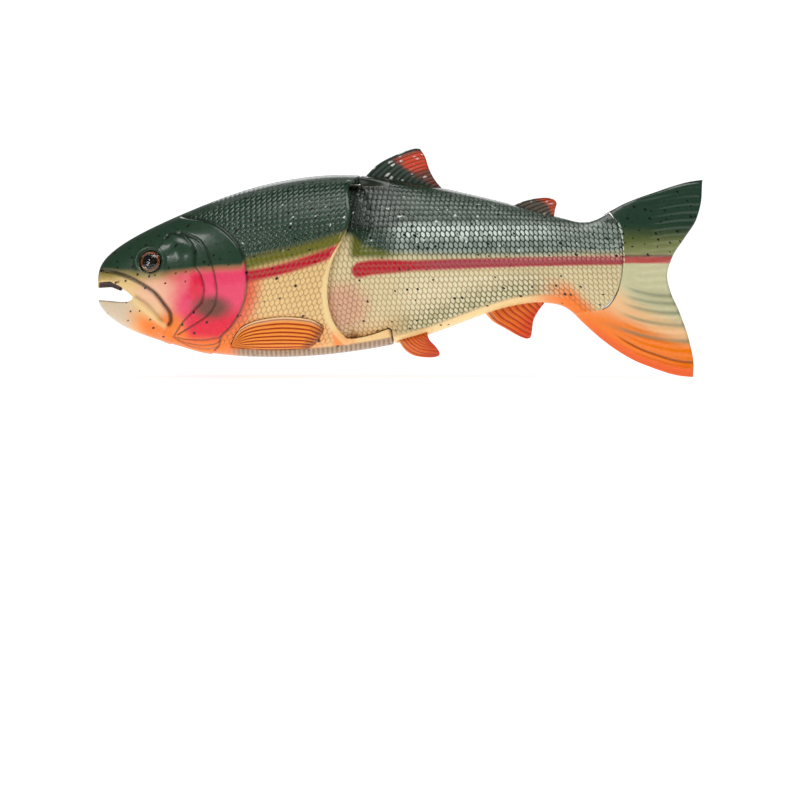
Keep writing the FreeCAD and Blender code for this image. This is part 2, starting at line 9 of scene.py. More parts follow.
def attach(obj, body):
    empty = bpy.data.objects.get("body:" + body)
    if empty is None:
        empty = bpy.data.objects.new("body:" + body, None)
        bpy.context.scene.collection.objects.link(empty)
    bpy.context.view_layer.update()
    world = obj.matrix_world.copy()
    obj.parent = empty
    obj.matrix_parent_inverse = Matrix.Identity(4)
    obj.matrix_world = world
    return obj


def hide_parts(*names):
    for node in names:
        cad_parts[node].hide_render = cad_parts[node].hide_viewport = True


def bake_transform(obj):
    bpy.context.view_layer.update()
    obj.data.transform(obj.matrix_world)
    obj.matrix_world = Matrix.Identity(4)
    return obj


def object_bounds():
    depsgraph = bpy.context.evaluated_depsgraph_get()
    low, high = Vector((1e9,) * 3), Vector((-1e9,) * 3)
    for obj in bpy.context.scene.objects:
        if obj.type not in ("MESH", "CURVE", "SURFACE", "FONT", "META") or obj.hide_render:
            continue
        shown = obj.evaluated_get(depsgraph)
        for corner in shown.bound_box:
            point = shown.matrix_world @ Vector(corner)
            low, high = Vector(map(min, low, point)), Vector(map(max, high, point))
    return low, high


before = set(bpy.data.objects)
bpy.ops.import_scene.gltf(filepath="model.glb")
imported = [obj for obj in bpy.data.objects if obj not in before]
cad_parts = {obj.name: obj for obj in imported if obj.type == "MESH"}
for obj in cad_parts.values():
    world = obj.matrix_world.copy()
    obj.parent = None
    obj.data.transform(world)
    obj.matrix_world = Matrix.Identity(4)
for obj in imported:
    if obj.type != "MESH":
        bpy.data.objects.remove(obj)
cad_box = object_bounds()


# ---- table, light and camera ----
# A plain pale table in a small product studio: a large softbox over the lure, a small one that puts
# the gloss on the head, and one behind. The camera looks square at the left side.
mm = 0.001
table_drop = 0.8 * mm
table_reach = 0.5
view_distance = 1.2629
view_height = 14 * mm
aim = Vector((110.8 * mm, 0.0, -43.3 * mm))


def put(bm, name):
    """Turns a finished bmesh into an object at the origin."""
    mesh = bpy.data.meshes.new(name)
    bm.to_mesh(mesh)
    bm.free()
    made = bpy.data.objects.new(name, mesh)
    bpy.context.scene.collection.objects.link(made)
    return made


def node(tree, kind, feeds=None, **settings):
    """A shader node; feeds are sockets or values for its inputs."""
    made = tree.nodes.new("ShaderNode" + kind)
    for key, value in settings.items():
        setattr(made, key, value)
    for key, value in (feeds or {}).items():
        if isinstance(value, bpy.types.NodeSocket):
            tree.links.new(value, made.inputs[key])
        else:
            made.inputs[key].default_value = value
    return made


def feed(tree, shader, **sockets):
    for name, socket in sockets.items():
        tree.links.new(socket, shader.inputs[name.replace("_", " ")])


def own_place(tree):
    return node(tree, "TexCoord").outputs["Object"]


def noise(tree, place, scale, detail=2.0):
    return node(tree, "TexNoise", {"Vector": place, "Scale": scale, "Detail": detail}).outputs[0]


def mix(tree, share, first, second):
    return node(tree, "Mix", {0: share, 6: first, 7: second}, data_type="RGBA").outputs[2]


def paint(red, green, blue):
    """A paint colour from its 0 to 255 mix, as the shader wants it."""
    return tuple((c / 255 / 12.92 if c < 10.3 else ((c / 255 + 0.055) / 1.055) ** 2.4)
                 for c in (red, green, blue)) + (1.0,)


def surface(name, **constants):
    """A material and its shader, with these constants set on the shader's own sockets."""
    made = bpy.data.materials.new(name)
    made.use_nodes = True
    shader = made.node_tree.nodes["Principled BSDF"]
    for key, value in constants.items():
        shader.inputs[key.replace("_", " ")].default_value = value
    return made, made.node_tree, shader


bm = bmesh.new()
bmesh.ops.create_grid(bm, x_segments=2, y_segments=2, size=table_reach)
bmesh.ops.translate(bm, verts=bm.verts, vec=(aim.x, 0.0, cad_box[0].z - table_drop))
table = put(bm, "table")
table_white, tree, shader = surface("table_white", Roughness=0.45, Emission_Color=(1, 1, 1, 1),
                                    Emission_Strength=0.60)
speck = noise(tree, own_place(tree), 40.0)
feed(tree, shader, Base_Color=mix(tree, speck, paint(246, 246, 246), paint(252, 252, 252)))
table.data.materials.append(table_white)

world = bpy.data.worlds.new("studio")
bpy.context.scene.world = world
world.use_nodes = True
tree = world.node_tree
seen = node(tree, "Background", {"Color": (1, 1, 1, 1), "Strength": 1.1})
room = node(tree, "Background", {"Color": (0.95, 0.97, 1, 1), "Strength": 0.15})
both = node(tree, "MixShader", {0: node(tree, "LightPath").outputs["Is Camera Ray"],
                                1: room.outputs[0], 2: seen.outputs[0]})
tree.links.new(both.outputs[0], tree.nodes["World Output"].inputs[0])


def softbox(name, place, target, width, height, watts):
    lamp = bpy.data.lights.new(name, "AREA")
    lamp.shape, lamp.size, lamp.size_y, lamp.energy = "RECTANGLE", width, height, watts
    made = bpy.data.objects.new(name, lamp)
    facing = (Vector(target) - Vector(place)).to_track_quat("-Z", "Y")
    made.matrix_world = Matrix.Translation(place) @ facing.to_matrix().to_4x4()
    bpy.context.scene.collection.objects.link(made)


softbox("softbox_over", (0.13, -0.42, 0.62), (0.11, 0, 0.01), 0.62, 0.30, 2.6)
softbox("softbox_head", (-0.35, -0.55, 0.35), (0.05, 0, 0.01), 0.14, 0.22, 0.8)
softbox("softbox_back", (0.15, 0.6, 0.5), (0.11, 0, 0.01), 0.6, 0.4, 1.6)

lens = bpy.data.cameras.new("camera")
lens.sensor_width, lens.lens = 36.0, 135.0
lens.clip_start, lens.clip_end = 0.01, 50.0
camera = bpy.data.objects.new("camera", lens)
camera.location = (aim.x, -view_distance, view_height)
camera.rotation_mode = "QUATERNION"
camera.rotation_quaternion = (aim - camera.location).to_track_quat("-Z", "Y")
bpy.context.scene.collection.objects.link(camera)
bpy.context.scene.camera = camera
bpy.context.scene.view_settings.view_transform = "Standard"


# ---- front section's two half shells ----
# Two moulded ABS halves, glued along the back and belly: head, shoulders and the skirts that reach
# round the joint. Scales, gill plates and jaw are cut into the mould; the colours are airbrushed
# coats under clear lacquer.
mouth_depth, overall_length, body_depth, body_width = 16.0, 254.0, 75.0, 39.0
hinge_from_nose = 100.0
shell_voxel = 0.42 * mm
# distance from the nose, back and belly heights, half width and squareness, as shares of the size
stations = [
    (0.000, 0.120, -0.015, 0.13, 2.0), (0.004, 0.172, -0.045, 0.25, 2.0),
    (0.016, 0.230, -0.102, 0.39, 2.1), (0.036, 0.286, -0.152, 0.49, 2.1),
    (0.066, 0.348, -0.201, 0.61, 2.1), (0.106, 0.415, -0.247, 0.72, 2.1),
    (0.156, 0.489, -0.294, 0.83, 2.1), (0.215, 0.566, -0.325, 0.92, 2.1),
    (0.275, 0.628, -0.336, 0.98, 2.05), (0.334, 0.666, -0.333, 1.00, 2.05),
    (0.384, 0.683, -0.320, 0.99, 2.0), (0.424, 0.683, -0.303, 0.97, 2.0),
    (0.474, 0.668, -0.275, 0.93, 2.0), (0.533, 0.635, -0.225, 0.85, 2.0),
    (0.592, 0.594, -0.155, 0.74, 2.0), (0.650, 0.549, -0.084, 0.62, 2.0),
    (0.699, 0.506, -0.043, 0.51, 2.0), (0.740, 0.467, -0.034, 0.42, 1.95),
    (0.772, 0.440, -0.056, 0.36, 1.8), (0.808, 0.421, -0.160, 0.30, 1.6),
    (0.831, 0.447, -0.229, 0.27, 1.5), (0.861, 0.507, -0.303, 0.225, 1.5),
    (0.890, 0.550, -0.359, 0.18, 1.6), (0.921, 0.587, -0.400, 0.14, 1.7),
    (0.950, 0.621, -0.432, 0.105, 2.0), (0.980, 0.648, -0.448, 0.075, 2.2),
    (1.002, 0.658, -0.450, 0.055, 2.4)]
# how deep the rear section's sides are dished: behind the hinge, and up the section
dish_along = [(0, 1.0), (11, 1.0), (17, 0.72), (24, 0.44), (33, 0.20), (44, 0.0), (60, 0.0)]
dish_up = [(-1.0, 0.0), (-0.93, 0.0), (-0.85, 0.26), (-0.60, 0.27), (0.0, 0.25), (0.35, 0.36),
           (0.60, 0.47), (0.83, 0.50), (0.91, 0.36), (0.955, 0.0), (1.0, 0.0)]
# the skirts' rim, the gill cover, the plates on it and the jaw, each point a distance from the nose
# and a height over the line tube's mouth
skirt_rim = [(105.5, 46.7), (105.8, 41.5), (106.3, 33.5), (104.0, 25.6), (99.4, 15.8), (97.0, 4.6),
             (97.7, -5.9), (101.2, -13.9), (104.5, -17.9)]
gill_cover = [(33.6, 35.1), (37.0, 33.4), (43.1, 32.6), (50.0, 30.5), (56.2, 25.9), (60.4, 20.5),
              (62.5, 14.7), (63.3, 8.1), (62.9, 1.9), (60.8, -5.0), (56.2, -12.3), (52.1, -16.4),
              (51.3, -19.8), (49.0, -22.2)]
front_plate = [(29.0, 24.7), (29.8, 25.8), (32.3, 26.6), (37.0, 25.1), (40.7, 20.9), (41.6, 17.2),
               (41.6, 13.5), (44.1, 9.4), (45.4, 4.3), (44.5, -1.1), (41.2, -5.1), (36.1, -10.6),
               (32.6, -15.7)]
rear_plate = [(35.3, 27.0), (39.5, 25.6), (43.3, 23.7), (46.2, 19.7), (48.5, 14.3), (50.0, 8.9),
              (50.8, 3.0), (50.0, -2.3), (46.6, -7.3), (40.7, -11.5), (34.0, -15.5)]
throat_lines = [[(31.9, -16.3), (37.4, -17.5), (43.7, -17.7), (48.7, -17.1), (52.1, -16.4)],
                [(32.4, -16.9), (37.4, -18.9), (43.7, -20.0), (49.2, -19.4), (51.7, -18.1)],
                [(33.6, -17.8), (39.5, -20.6), (45.8, -21.5), (50.4, -20.6)]]
jaw_groove = [(2.0, 11.3), (5.5, 10.9), (12.9, 8.8), (20.1, 5.1), (24.8, 1.8), (28.5, -2.7),
              (31.1, -6.9), (31.3, -9.5), (30.4, -11.3)]
jaw_hollow = [(16.9, 0.3), (19.7, -1.4), (23.1, -4.4), (27.2, -9.2)]
jaw_lip = [(15.7, -0.7), (19.9, -4.4), (24.6, -8.6), (28.6, -11.9)]
nostril = (9.1, 6.5)
eye_centre = (22.6, 15.0)
# the green's lower edge and the stripe's middle: a distance from the nose and a height
green_line = [(0, 11.6), (9, 10.9), (21.7, 10.0), (34.3, 10.8), (46.9, 12.2), (61, 13.0), (62.5, 15.6),
              (74.2, 19.0), (84.7, 21.5), (103.7, 27.0)]
front_stripe = [(62.5, 8.7), (72.9, 10.6), (85.3, 14.0), (100.7, 19.5), (106.3, 21.9)]


def flow(rows, at, column=1):
    """Smooth values of a table's column, with no overshoot between its rows."""
    rows = np.array(rows, float)
    x, y = rows[:, 0], rows[:, column]
    slope = np.diff(y) / np.diff(x)
    before, after = slope[:-1], slope[1:]
    same_way = before * after > 0
    inner = np.where(same_way, 2 * before * after / np.where(same_way, before + after, 1), 0)
    tangent = np.r_[slope[0], inner, slope[-1]]
    at = np.clip(at, x[0], x[-1])
    i = np.clip(np.searchsorted(x, at, side="right") - 1, 0, len(slope) - 1)
    span = x[i + 1] - x[i]
    t = (at - x[i]) / span
    return (y[i] * (2 * t**3 - 3 * t**2 + 1) + y[i + 1] * (3 * t**2 - 2 * t**3)
            + span * (tangent[i] * (t**3 - 2 * t**2 + t) + tangent[i + 1] * (t**3 - t**2)))


def curve(points, knots, t):
    """A smooth drawn line, at t, that passes each of its points at a knot."""
    return np.stack([flow(np.c_[knots, column], t) for column in np.array(points, float).T], 1)


def section(d):
    """The plain body's back, belly, half width and squareness, in millimetres."""
    back, belly, wide, square = (flow(stations, d / overall_length, k) for k in (1, 2, 3, 4))
    return back * body_depth, belly * body_depth, wide * body_width / 2, square


def soft(value, low, high):
    t = np.clip((value - low) / (high - low), 0, 1)
    return t * t * (3 - 2 * t)


def hump(value, width):
    return np.exp(-(value / width) ** 2)


def puff(d, z, at, size):
    """One puff of an airbrush: full in the middle, gone at its edge."""
    away = np.hypot((d - at[0]) / size[0], (z - at[1]) / size[1])
    return 1 - soft(away, 0.35, 1.15)


def from_line(points, d, z, cap=8.0):
    """Distance from a drawn line in side view, above 0 on its left, and capped."""
    last = len(points) - 1
    line = curve(points, np.arange(last + 1), np.linspace(0, last, 7 * last + 1))
    near = ((d > line[:, 0].min() - cap) & (d < line[:, 0].max() + cap)
            & (z > line[:, 1].min() - cap) & (z < line[:, 1].max() + cap))
    p = np.c_[d[near], z[near]]
    best, side = np.full(len(p), cap), np.ones(len(p))
    for a, b in zip(line, line[1:]):
        along = b - a
        t = np.clip((p - a) @ along / (along @ along), 0, 1)
        off = p - a - t[:, None] * along
        away = np.hypot(off[:, 0], off[:, 1])
        closer = away < best
        best[closer] = away[closer]
        side[closer] = np.sign(along[0] * off[closer, 1] - along[1] * off[closer, 0] + 1e-12)
    out = np.full(len(d), cap)
    out[near] = best * side
    return out


def skin(d, y, z, dished):
    """How far out each point is in its section, with 1 on the skin, its arc length, back and belly."""
    back, belly, half, square = section(d)
    middle, tall = (back + belly) / 2, (back - belly) / 2
    up = np.clip((z - middle) / tall, -1.2, 1.2)
    if dished:
        half = half * (1 - flow(dish_along, d - hinge_from_nose) * flow(dish_up, np.clip(up, -1, 1)))
    out = (np.abs(y / half) ** square + np.abs(up) ** square) ** (1 / square)
    angle = np.arctan2(up, np.abs(y) / half)
    turns = np.linspace(-math.pi / 2, math.pi / 2, 65)
    # arc length round the section, from its side to each point, for a handful of plump ratios
    middle_arc, arc = [], np.zeros(len(d))
    ratio = np.clip(half / tall, 0.05, 1.2)
    levels = np.linspace(0.05, 1.2, 24)
    for level in levels:
        step = np.hypot(np.diff(np.cos(turns)) * level, np.diff(np.sin(turns)))
        middle_arc.append(np.r_[0, np.cumsum(step)] - np.sum(step) / 2)
    low = np.clip(np.searchsorted(levels, ratio) - 1, 0, len(levels) - 2)
    share = (ratio - levels[low]) / (levels[1] - levels[0])
    for k in range(len(levels) - 1):
        here = low == k
        a = np.interp(angle[here], turns, middle_arc[k])
        b = np.interp(angle[here], turns, middle_arc[k + 1])
        arc[here] = a + (b - a) * share[here]
    return out, arc * tall + middle, back, belly


def values_of(rows, key, width=1):
    values = np.empty(len(rows) * width, np.float32)
    rows.foreach_get(key, values)
    return values.reshape(-1, width).astype(float) if width > 1 else values


def coordinates(mesh):
    return values_of(mesh.vertices, "co", 3)


def place_at(mesh, co):
    mesh.vertices.foreach_set("co", co.astype(np.float32).ravel())
    mesh.update()


def store(mesh, masks):
    """Each mask is kept on the mesh as an attribute of its own, for the material to read."""
    for name, values in masks.items():
        attribute = mesh.attributes.new(name, "FLOAT", "POINT")
        attribute.data.foreach_set("value", np.asarray(values, np.float32))


# the scales' pitch along and up the body, and how far their cells are squashed to pointed ovals
scale_along, scale_up, scale_squash = 2.06, 2.35, 0.42
scale_gap = 2 * math.hypot(scale_along / 2, scale_squash * scale_up)


def scale_edge(u, v):
    """Distance from each point to the edge of its own scale, and how far back in the scale it is."""
    found = []
    for shift in (0.0, 0.5):
        du, dv = ((value / pitch + shift - np.round(value / pitch + shift)) * pitch
                  for value, pitch in ((u, scale_along), (v, 2 * scale_up)))
        found.append((du, du**2 + scale_squash * dv**2))
    first = found[0][1] < found[1][1]
    du = np.where(first, found[0][0], found[1][0])
    between = np.abs(found[0][1] - found[1][1]) / scale_gap
    return np.minimum(between, scale_along / 2 - np.abs(du)), du


def solid_copy(names, voxel):
    """The CAD nodes merged into one closed even mesh, with its sealed rooms filled."""
    bm = bmesh.new()
    for name in names:
        bm.from_mesh(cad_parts[name].data)
    bmesh.ops.remove_doubles(bm, verts=bm.verts, dist=1e-6)
    rough = put(bm, "rough")
    remesh = rough.modifiers.new("even", "REMESH")
    remesh.mode, remesh.voxel_size = "VOXEL", voxel
    mesh = bpy.data.meshes.new_from_object(rough.evaluated_get(bpy.context.evaluated_depsgraph_get()))
    bpy.data.objects.remove(rough)
    bm = bmesh.new()
    bm.from_mesh(mesh)
    for _ in range(2):
        bmesh.ops.smooth_vert(bm, verts=bm.verts, factor=0.5, use_axis_x=True, use_axis_y=True,
                              use_axis_z=True)
    bm.to_mesh(mesh)
    bm.free()
    return mesh


def push(mesh, height):
    """Moves each point out along its normal, by a height in millimetres."""
    place_at(mesh, coordinates(mesh) + values_of(mesh.vertices, "normal", 3) * height[:, None] * mm)


def halves(mesh, prefix, body, masks, material):
    """Cuts a section along the mid-plane into its two half shells."""
    for side, name in ((-1, "left"), (1, "right")):
        bm = bmesh.new()
        bm.from_mesh(mesh)
        cut = bmesh.ops.bisect_plane(bm, geom=bm.verts[:] + bm.edges[:] + bm.faces[:], dist=1e-7,
                                     plane_co=(0, 0, 0), plane_no=(0, -side, 0), clear_outer=True)
        rim = [e for e in cut["geom_cut"] if isinstance(e, bmesh.types.BMEdge)]
        bmesh.ops.holes_fill(bm, edges=rim, sides=0)
        bmesh.ops.recalc_face_normals(bm, faces=bm.faces)
        half = put(bm, prefix + "_" + name)
        half.data.shade_smooth()
        store(half.data, masks(coordinates(half.data)))
        half.data.materials.append(material)
        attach(half, body)
        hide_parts(prefix.replace("_skin", "_shell") + "_" + name)


def rows_of(co):
    """Distance from the nose, across and up, in millimetres."""
    return co[:, 0] / mm + mouth_depth, co[:, 1] / mm, co[:, 2] / mm


def on_skin(outside, coats):
    """Coats of paint lie on the outside only."""
    return {name: share * outside for name, share in coats.items()}


def front_outside(d, y, z, low=0.955, high=0.985):
    out, arc, back, belly = skin(d, y, z, False)
    return soft(out, low, high), arc, back, belly, from_line(skirt_rim, d, z)


def front_lines(d, z):
    return {"cover": from_line(gill_cover, d, z, 45.0), "front_plate": from_line(front_plate, d, z),
            "rear_plate": from_line(rear_plate, d, z), "jaw": from_line(jaw_groove, d, z),
            "hollow": from_line(jaw_hollow, d, z), "lip": from_line(jaw_lip, d, z),
            "throat": np.min([np.abs(from_line(l, d, z, 3.0)) for l in throat_lines], 0)}


def front_scaled(d, z, lines, back, belly, rim):
    """Scales cover the body behind the gill cover, and end before the rim."""
    behind = np.where((z > 33) & (d < 60), d - 33 - (z - 33) * 0.2, lines["cover"])
    return (soft(behind, 0.2, 1.2) * soft(d, 30, 34) * soft(np.abs(rim), 1.6, 2.6)
            * soft(z - belly, 3.0, 6.0) * soft(back - z, 1.5, 4.0)
            * (1 - soft(d, 97, 100) * soft(z, -11, -13)))


def front_scale_grid(d, arc):
    return d - 0.30 * np.maximum(arc - 20, 0) - 0.16 * arc, arc - 0.16 * d


front_mesh = solid_copy(["front_shell_left", "front_shell_right", "line_tube"], shell_voxel)
d, y, z = rows_of(coordinates(front_mesh))
outside, arc, back, belly, rim = front_outside(d, y, z)
lines = front_lines(d, z)
edge, behind = scale_edge(*front_scale_grid(d, arc))
scaled = front_scaled(d, z, lines, back, belly, rim)
cover, jaw = lines["cover"], lines["jaw"]
from_eye = np.hypot(d - eye_centre[0], z - eye_centre[1])
from_nostril = np.hypot(d - nostril[0], z - nostril[1])
# cuts and rises of the mould, in millimetres
scale_rise, scale_tilt, cover_rise, cover_cut, plate_rise = 0.20, 0.10, 0.50, 0.55, 0.55
throat_cut, jaw_cut, jaw_rise, hollow_cut, jaw_lip_rise = 0.35, 1.0, 0.55, 0.70, 0.50
brow_rise, rim_rise, nostril_cut, crown_rise, crown = 0.45, 0.35, 0.50, 0.25, (38, 34)
relief = scaled * (scale_rise * soft(edge, 0, 0.55) + scale_tilt * (behind / scale_along - 1))
relief += -cover_cut * hump(cover, 0.5)
relief += cover_rise * soft(-cover, 0, 1.4) * soft(-cover, 15, 4) * soft(d, 26, 36)
for name, depth in (("front_plate", 0.45), ("rear_plate", 0.40)):
    plate = lines[name]
    relief += -depth * hump(plate, 0.42) + plate_rise * soft(-plate, 0.1, 1.1) * soft(-plate, 8, 3)
relief += -throat_cut * hump(lines["throat"], 0.4)
relief += -jaw_cut * hump(jaw, 0.75)
relief += jaw_rise * soft(-jaw, 0.3, 1.2) * soft(-jaw, 7.5, 3.5) * soft(d, 2, 7)
relief += -hollow_cut * hump(lines["hollow"], 1.1) + jaw_lip_rise * hump(lines["lip"], 0.9)
relief += -nostril_cut * hump(from_nostril, 0.55) + brow_rise * hump(from_eye - 5.9, 0.7)
relief += crown_rise * hump(np.hypot(d - crown[0], z - crown[1]), 3.0)
relief += rim_rise * soft(np.abs(rim), 2.4, 1.4)
# nothing stands out at the very nose or along the crest
push(front_mesh, relief * outside * soft(d, 0.5, 3.0) * soft(back - z, 0.5, 2.5))


def front_masks(co):
    d, y, z = rows_of(co)
    outside, arc, back, belly, rim = front_outside(d, y, z, 0.84, 0.89)
    lines = front_lines(d, z)
    cover, jaw, away = lines["cover"], lines["jaw"], np.abs(rim)
    u, v = front_scale_grid(d, arc)
    scaled = front_scaled(d, z, lines, back, belly, rim)
    line, stripe = flow(green_line, d), z - flow(front_stripe, d)
    low = z - belly
    on_body = soft(cover, -0.3, 0.3) * soft(d, 34, 40)
    on_cover = soft(-cover, -0.2, 0.6) * soft(-cover, 40, 20)
    # the rim's pale lip, widest half-way down and golden at its foot
    width = flow([(-26, 1.5), (-16, 2.6), (0, 3.0), (8, 2.6), (20, 1.3), (28, 0.4), (32, 0.0)], z)
    lip = soft(away, width + 0.1, width - 0.5) * soft(width, 0.05, 0.3)
    lip = lip * (1 - 0.55 * soft(z, -10, -18))
    shelf = soft(d, 97, 100) * soft(z, -11, -14)
    inside = 1 - outside
    from_eye = np.hypot(d - eye_centre[0], z - eye_centre[1])
    from_nostril = np.hypot(d - nostril[0], z - nostril[1])
    # dark in the cut grooves, the nostril and round the eye: painted shade
    groove = np.max([hump(cover, 0.42) * 0.9, hump(lines["front_plate"], 0.36) * 0.8,
                     hump(lines["rear_plate"], 0.36) * 0.85, hump(lines["throat"], 0.34) * 0.7,
                     hump(jaw, 0.80), hump(lines["hollow"], 0.8) * 0.35,
                     hump(from_nostril, 0.5), hump(from_eye - 5.0, 0.25) * 0.7], 0)
    under_jaw = soft(-z, 9, 13) * soft(d, 38, 33)
    masks = on_skin(outside, {
        "scaled": scaled, "green": soft(z - line, -1.6, 1.8), "groove": groove,
        "olive": np.max([on_body * soft(z, line - 6.5, line - 3) * soft(z - line, 3, 0),
                         0.7 * hump(z - line + 0.6, 2.2), 0.8 * puff(d, z, (5, 12), (11, 6))], 0),
        "stripe": soft(d, 61, 63) * (1 - soft(np.abs(stripe), 1.4, 3.3)),
        "pink": (on_cover * soft(d, 24, 37) * soft(z, -21, -13) * soft(z, line + 1.5, line - 3)
                 * (1 - under_jaw)),
        "crimson": np.maximum(on_cover * soft(d, 35, 41) * soft(z, -21, -14) * soft(z, -2, -10),
                              on_cover * 0.8 * puff(d, z, (42.5, 4), (4.5, 8))),
        "smoke": 0.9 * puff(d, z, (48.5, -4.0), (10.0, 6.0)),
        "peach": puff(d, z, (27, 3), (12, 10)) * soft(z, line + 1, line - 2),
        "orange": np.max([soft(low, 12, 5) * soft(d, 10, 22) * soft(d, 76, 62),
                          0.95 * puff(d, z, (31, -12), (9, 7)), 0.85 * puff(d, z, (74, -17), (27, 10)),
                          0.8 * shelf * soft(d, 110, 104)], 0),
        "blush": on_body * 0.9 * soft(cover, 9, 1) * soft(z, 12, 6),
        "chin": soft(d, 20, 10) * soft(z, 0, -3),
        "lip": np.maximum(lip, hump(lines["lip"], 1.0) * 0.7),
        "ridge": soft(back - z, 4.2, 2.4) * soft(d, 44, 56),
        # the keel band: grey-brown painted shade where the belly curves under
        "keel_shade": soft(low, 4.0, 2.8) * soft(d, 52, 62),
        "spotted": soft(z, line - 8, line + 4) + 0.3})
    return masks | {"scale_u": u, "scale_v": v, "socket": inside * soft(d, 40, 60),
                    "mouth": soft(inside, 0.3, 0.9) * soft(d, 24, 20)}


def calc(tree, operation, *values, clamp=False):
    return node(tree, "Math", dict(enumerate(values)), operation=operation, use_clamp=clamp).outputs[0]


def times(tree, *values):
    product = values[0]
    for value in values[1:]:
        product = calc(tree, "MULTIPLY", product, value)
    return product


def rest(tree, share):
    """What a share leaves of the whole."""
    return calc(tree, "SUBTRACT", 1.0, share)


def rise(tree, value, low, high):
    """0 at low and 1 at high, with soft ends."""
    return node(tree, "MapRange", {0: value, 1: low, 2: high},
                interpolation_type="SMOOTHSTEP").outputs[0]


def read(tree, attribute):
    return node(tree, "Attribute", attribute_name=attribute).outputs["Fac"]


def scales(tree):
    """The scale lattice: distance to the scale's edge, place along the scale, and a random share."""
    u, v = read(tree, "scale_u"), read(tree, "scale_v")
    found = []
    for shift in (0.0, 0.5):
        a = calc(tree, "ADD", calc(tree, "DIVIDE", u, scale_along), shift)
        b = calc(tree, "ADD", calc(tree, "DIVIDE", v, 2 * scale_up), shift)
        ia, ib = calc(tree, "ROUND", a), calc(tree, "ROUND", b)
        du = times(tree, calc(tree, "SUBTRACT", a, ia), scale_along)
        dv = times(tree, calc(tree, "SUBTRACT", b, ib), 2 * scale_up)
        away = calc(tree, "MULTIPLY_ADD", times(tree, dv, dv), scale_squash, times(tree, du, du))
        key = node(tree, "CombineXYZ", {0: ia, 1: ib, 2: shift}).outputs[0]
        found.append((du, dv, away, key))
    first, second = found
    use = calc(tree, "LESS_THAN", first[2], second[2])
    du = node(tree, "Mix", {0: use, 2: second[0], 3: first[0]}).outputs[0]
    key = node(tree, "Mix", {0: use, 4: second[3], 5: first[3]}, data_type="VECTOR").outputs[1]
    apart = calc(tree, "ABSOLUTE", calc(tree, "SUBTRACT", first[2], second[2]))
    between = calc(tree, "DIVIDE", apart, scale_gap)
    across = calc(tree, "SUBTRACT", scale_along / 2, calc(tree, "ABSOLUTE", du))
    edge = calc(tree, "SMOOTH_MIN", between, across, 0.3)
    chance = node(tree, "TexWhiteNoise", {0: key}, noise_dimensions="3D").outputs["Value"]
    return edge, du, chance


def spots(tree, spacing, size, density):
    """Fine black flecks, thrown at random over the scale grid's plane."""
    at = node(tree, "CombineXYZ", {0: read(tree, "scale_u"), 1: read(tree, "scale_v")}).outputs[0]
    cells = node(tree, "TexVoronoi", {"Vector": at, "Scale": 1 / spacing, "Randomness": 1.0},
                 voronoi_dimensions="2D")
    chance = node(tree, "SeparateColor", {0: cells.outputs["Color"]})
    radius = calc(tree, "MULTIPLY_ADD", chance.outputs[0], 0.7 * size / spacing, 0.3 * size / spacing)
    past = calc(tree, "SUBTRACT", cells.outputs["Distance"], radius)
    dot = rest(tree, rise(tree, past, -0.05 / spacing, 0.22 / spacing))
    keep = calc(tree, "LESS_THAN", chance.outputs[1], times(tree, read(tree, "spotted"), density))
    return times(tree, dot, keep)


def airbrushed(name, undercoat, coats):
    """Coats of paint over an undercoat, each through its own mask, under clear lacquer."""
    made, tree, shader = surface(name, Roughness=0.28, Specular_IOR_Level=0.35, Coat_Weight=0.35,
                                 Coat_Roughness=0.10, Coat_IOR=1.5)
    place = own_place(tree)
    mist, cloud = noise(tree, place, 420.0, 4.0), noise(tree, place, 60.0, 3.0)
    drift = calc(tree, "ADD", calc(tree, "MULTIPLY_ADD", mist, 0.30, -0.15),
                 calc(tree, "MULTIPLY_ADD", cloud, 0.30, -0.15))
    colour = mix(tree, cloud, undercoat, tuple(0.9 * c for c in undercoat[:3]) + (1,))
    for mask, coat in coats:
        share = read(tree, mask)
        # the spray drifts only where a coat fades out
        fading = times(tree, share, rest(tree, share), 4.0)
        share = calc(tree, "MULTIPLY_ADD", drift, fading, share, clamp=True)
        colour = mix(tree, share, colour, paint(*coat))
    return made, tree, shader, colour, mist, place


# the keel coat is grey-brown painted shade under the belly
front_coats = [("peach", (248, 192, 156)), ("chin", (216, 196, 166)), ("blush", (240, 84, 56)),
               ("olive", (112, 108, 20)), ("green", (34, 62, 42)), ("stripe", (196, 0, 42)),
               ("pink", (240, 66, 106)), ("orange", (248, 124, 0)), ("crimson", (230, 0, 52)),
               ("smoke", (84, 56, 22)), ("keel_shade", (134, 100, 68)), ("ridge", (78, 90, 80))]


# how the brown wash, the green's dark scale edges and their painted pale highlight, the ribs on the
# keel's painted shade, the painted shade in the grooves and the pearl scales' painted highlight show
wash_share, dark_edge_share, keel_rib_share, groove_shade_share = 0.60, 0.60, 0.60, 0.93
pearl_and_highlight_least, edge_highlight_least = 0.65, 0.15
scale_tip, mist_height, rib_height = 0.35, 0.10, 1.2
fleck_spacing, fleck_size, fleck_density = 4.4, 0.56, 0.60


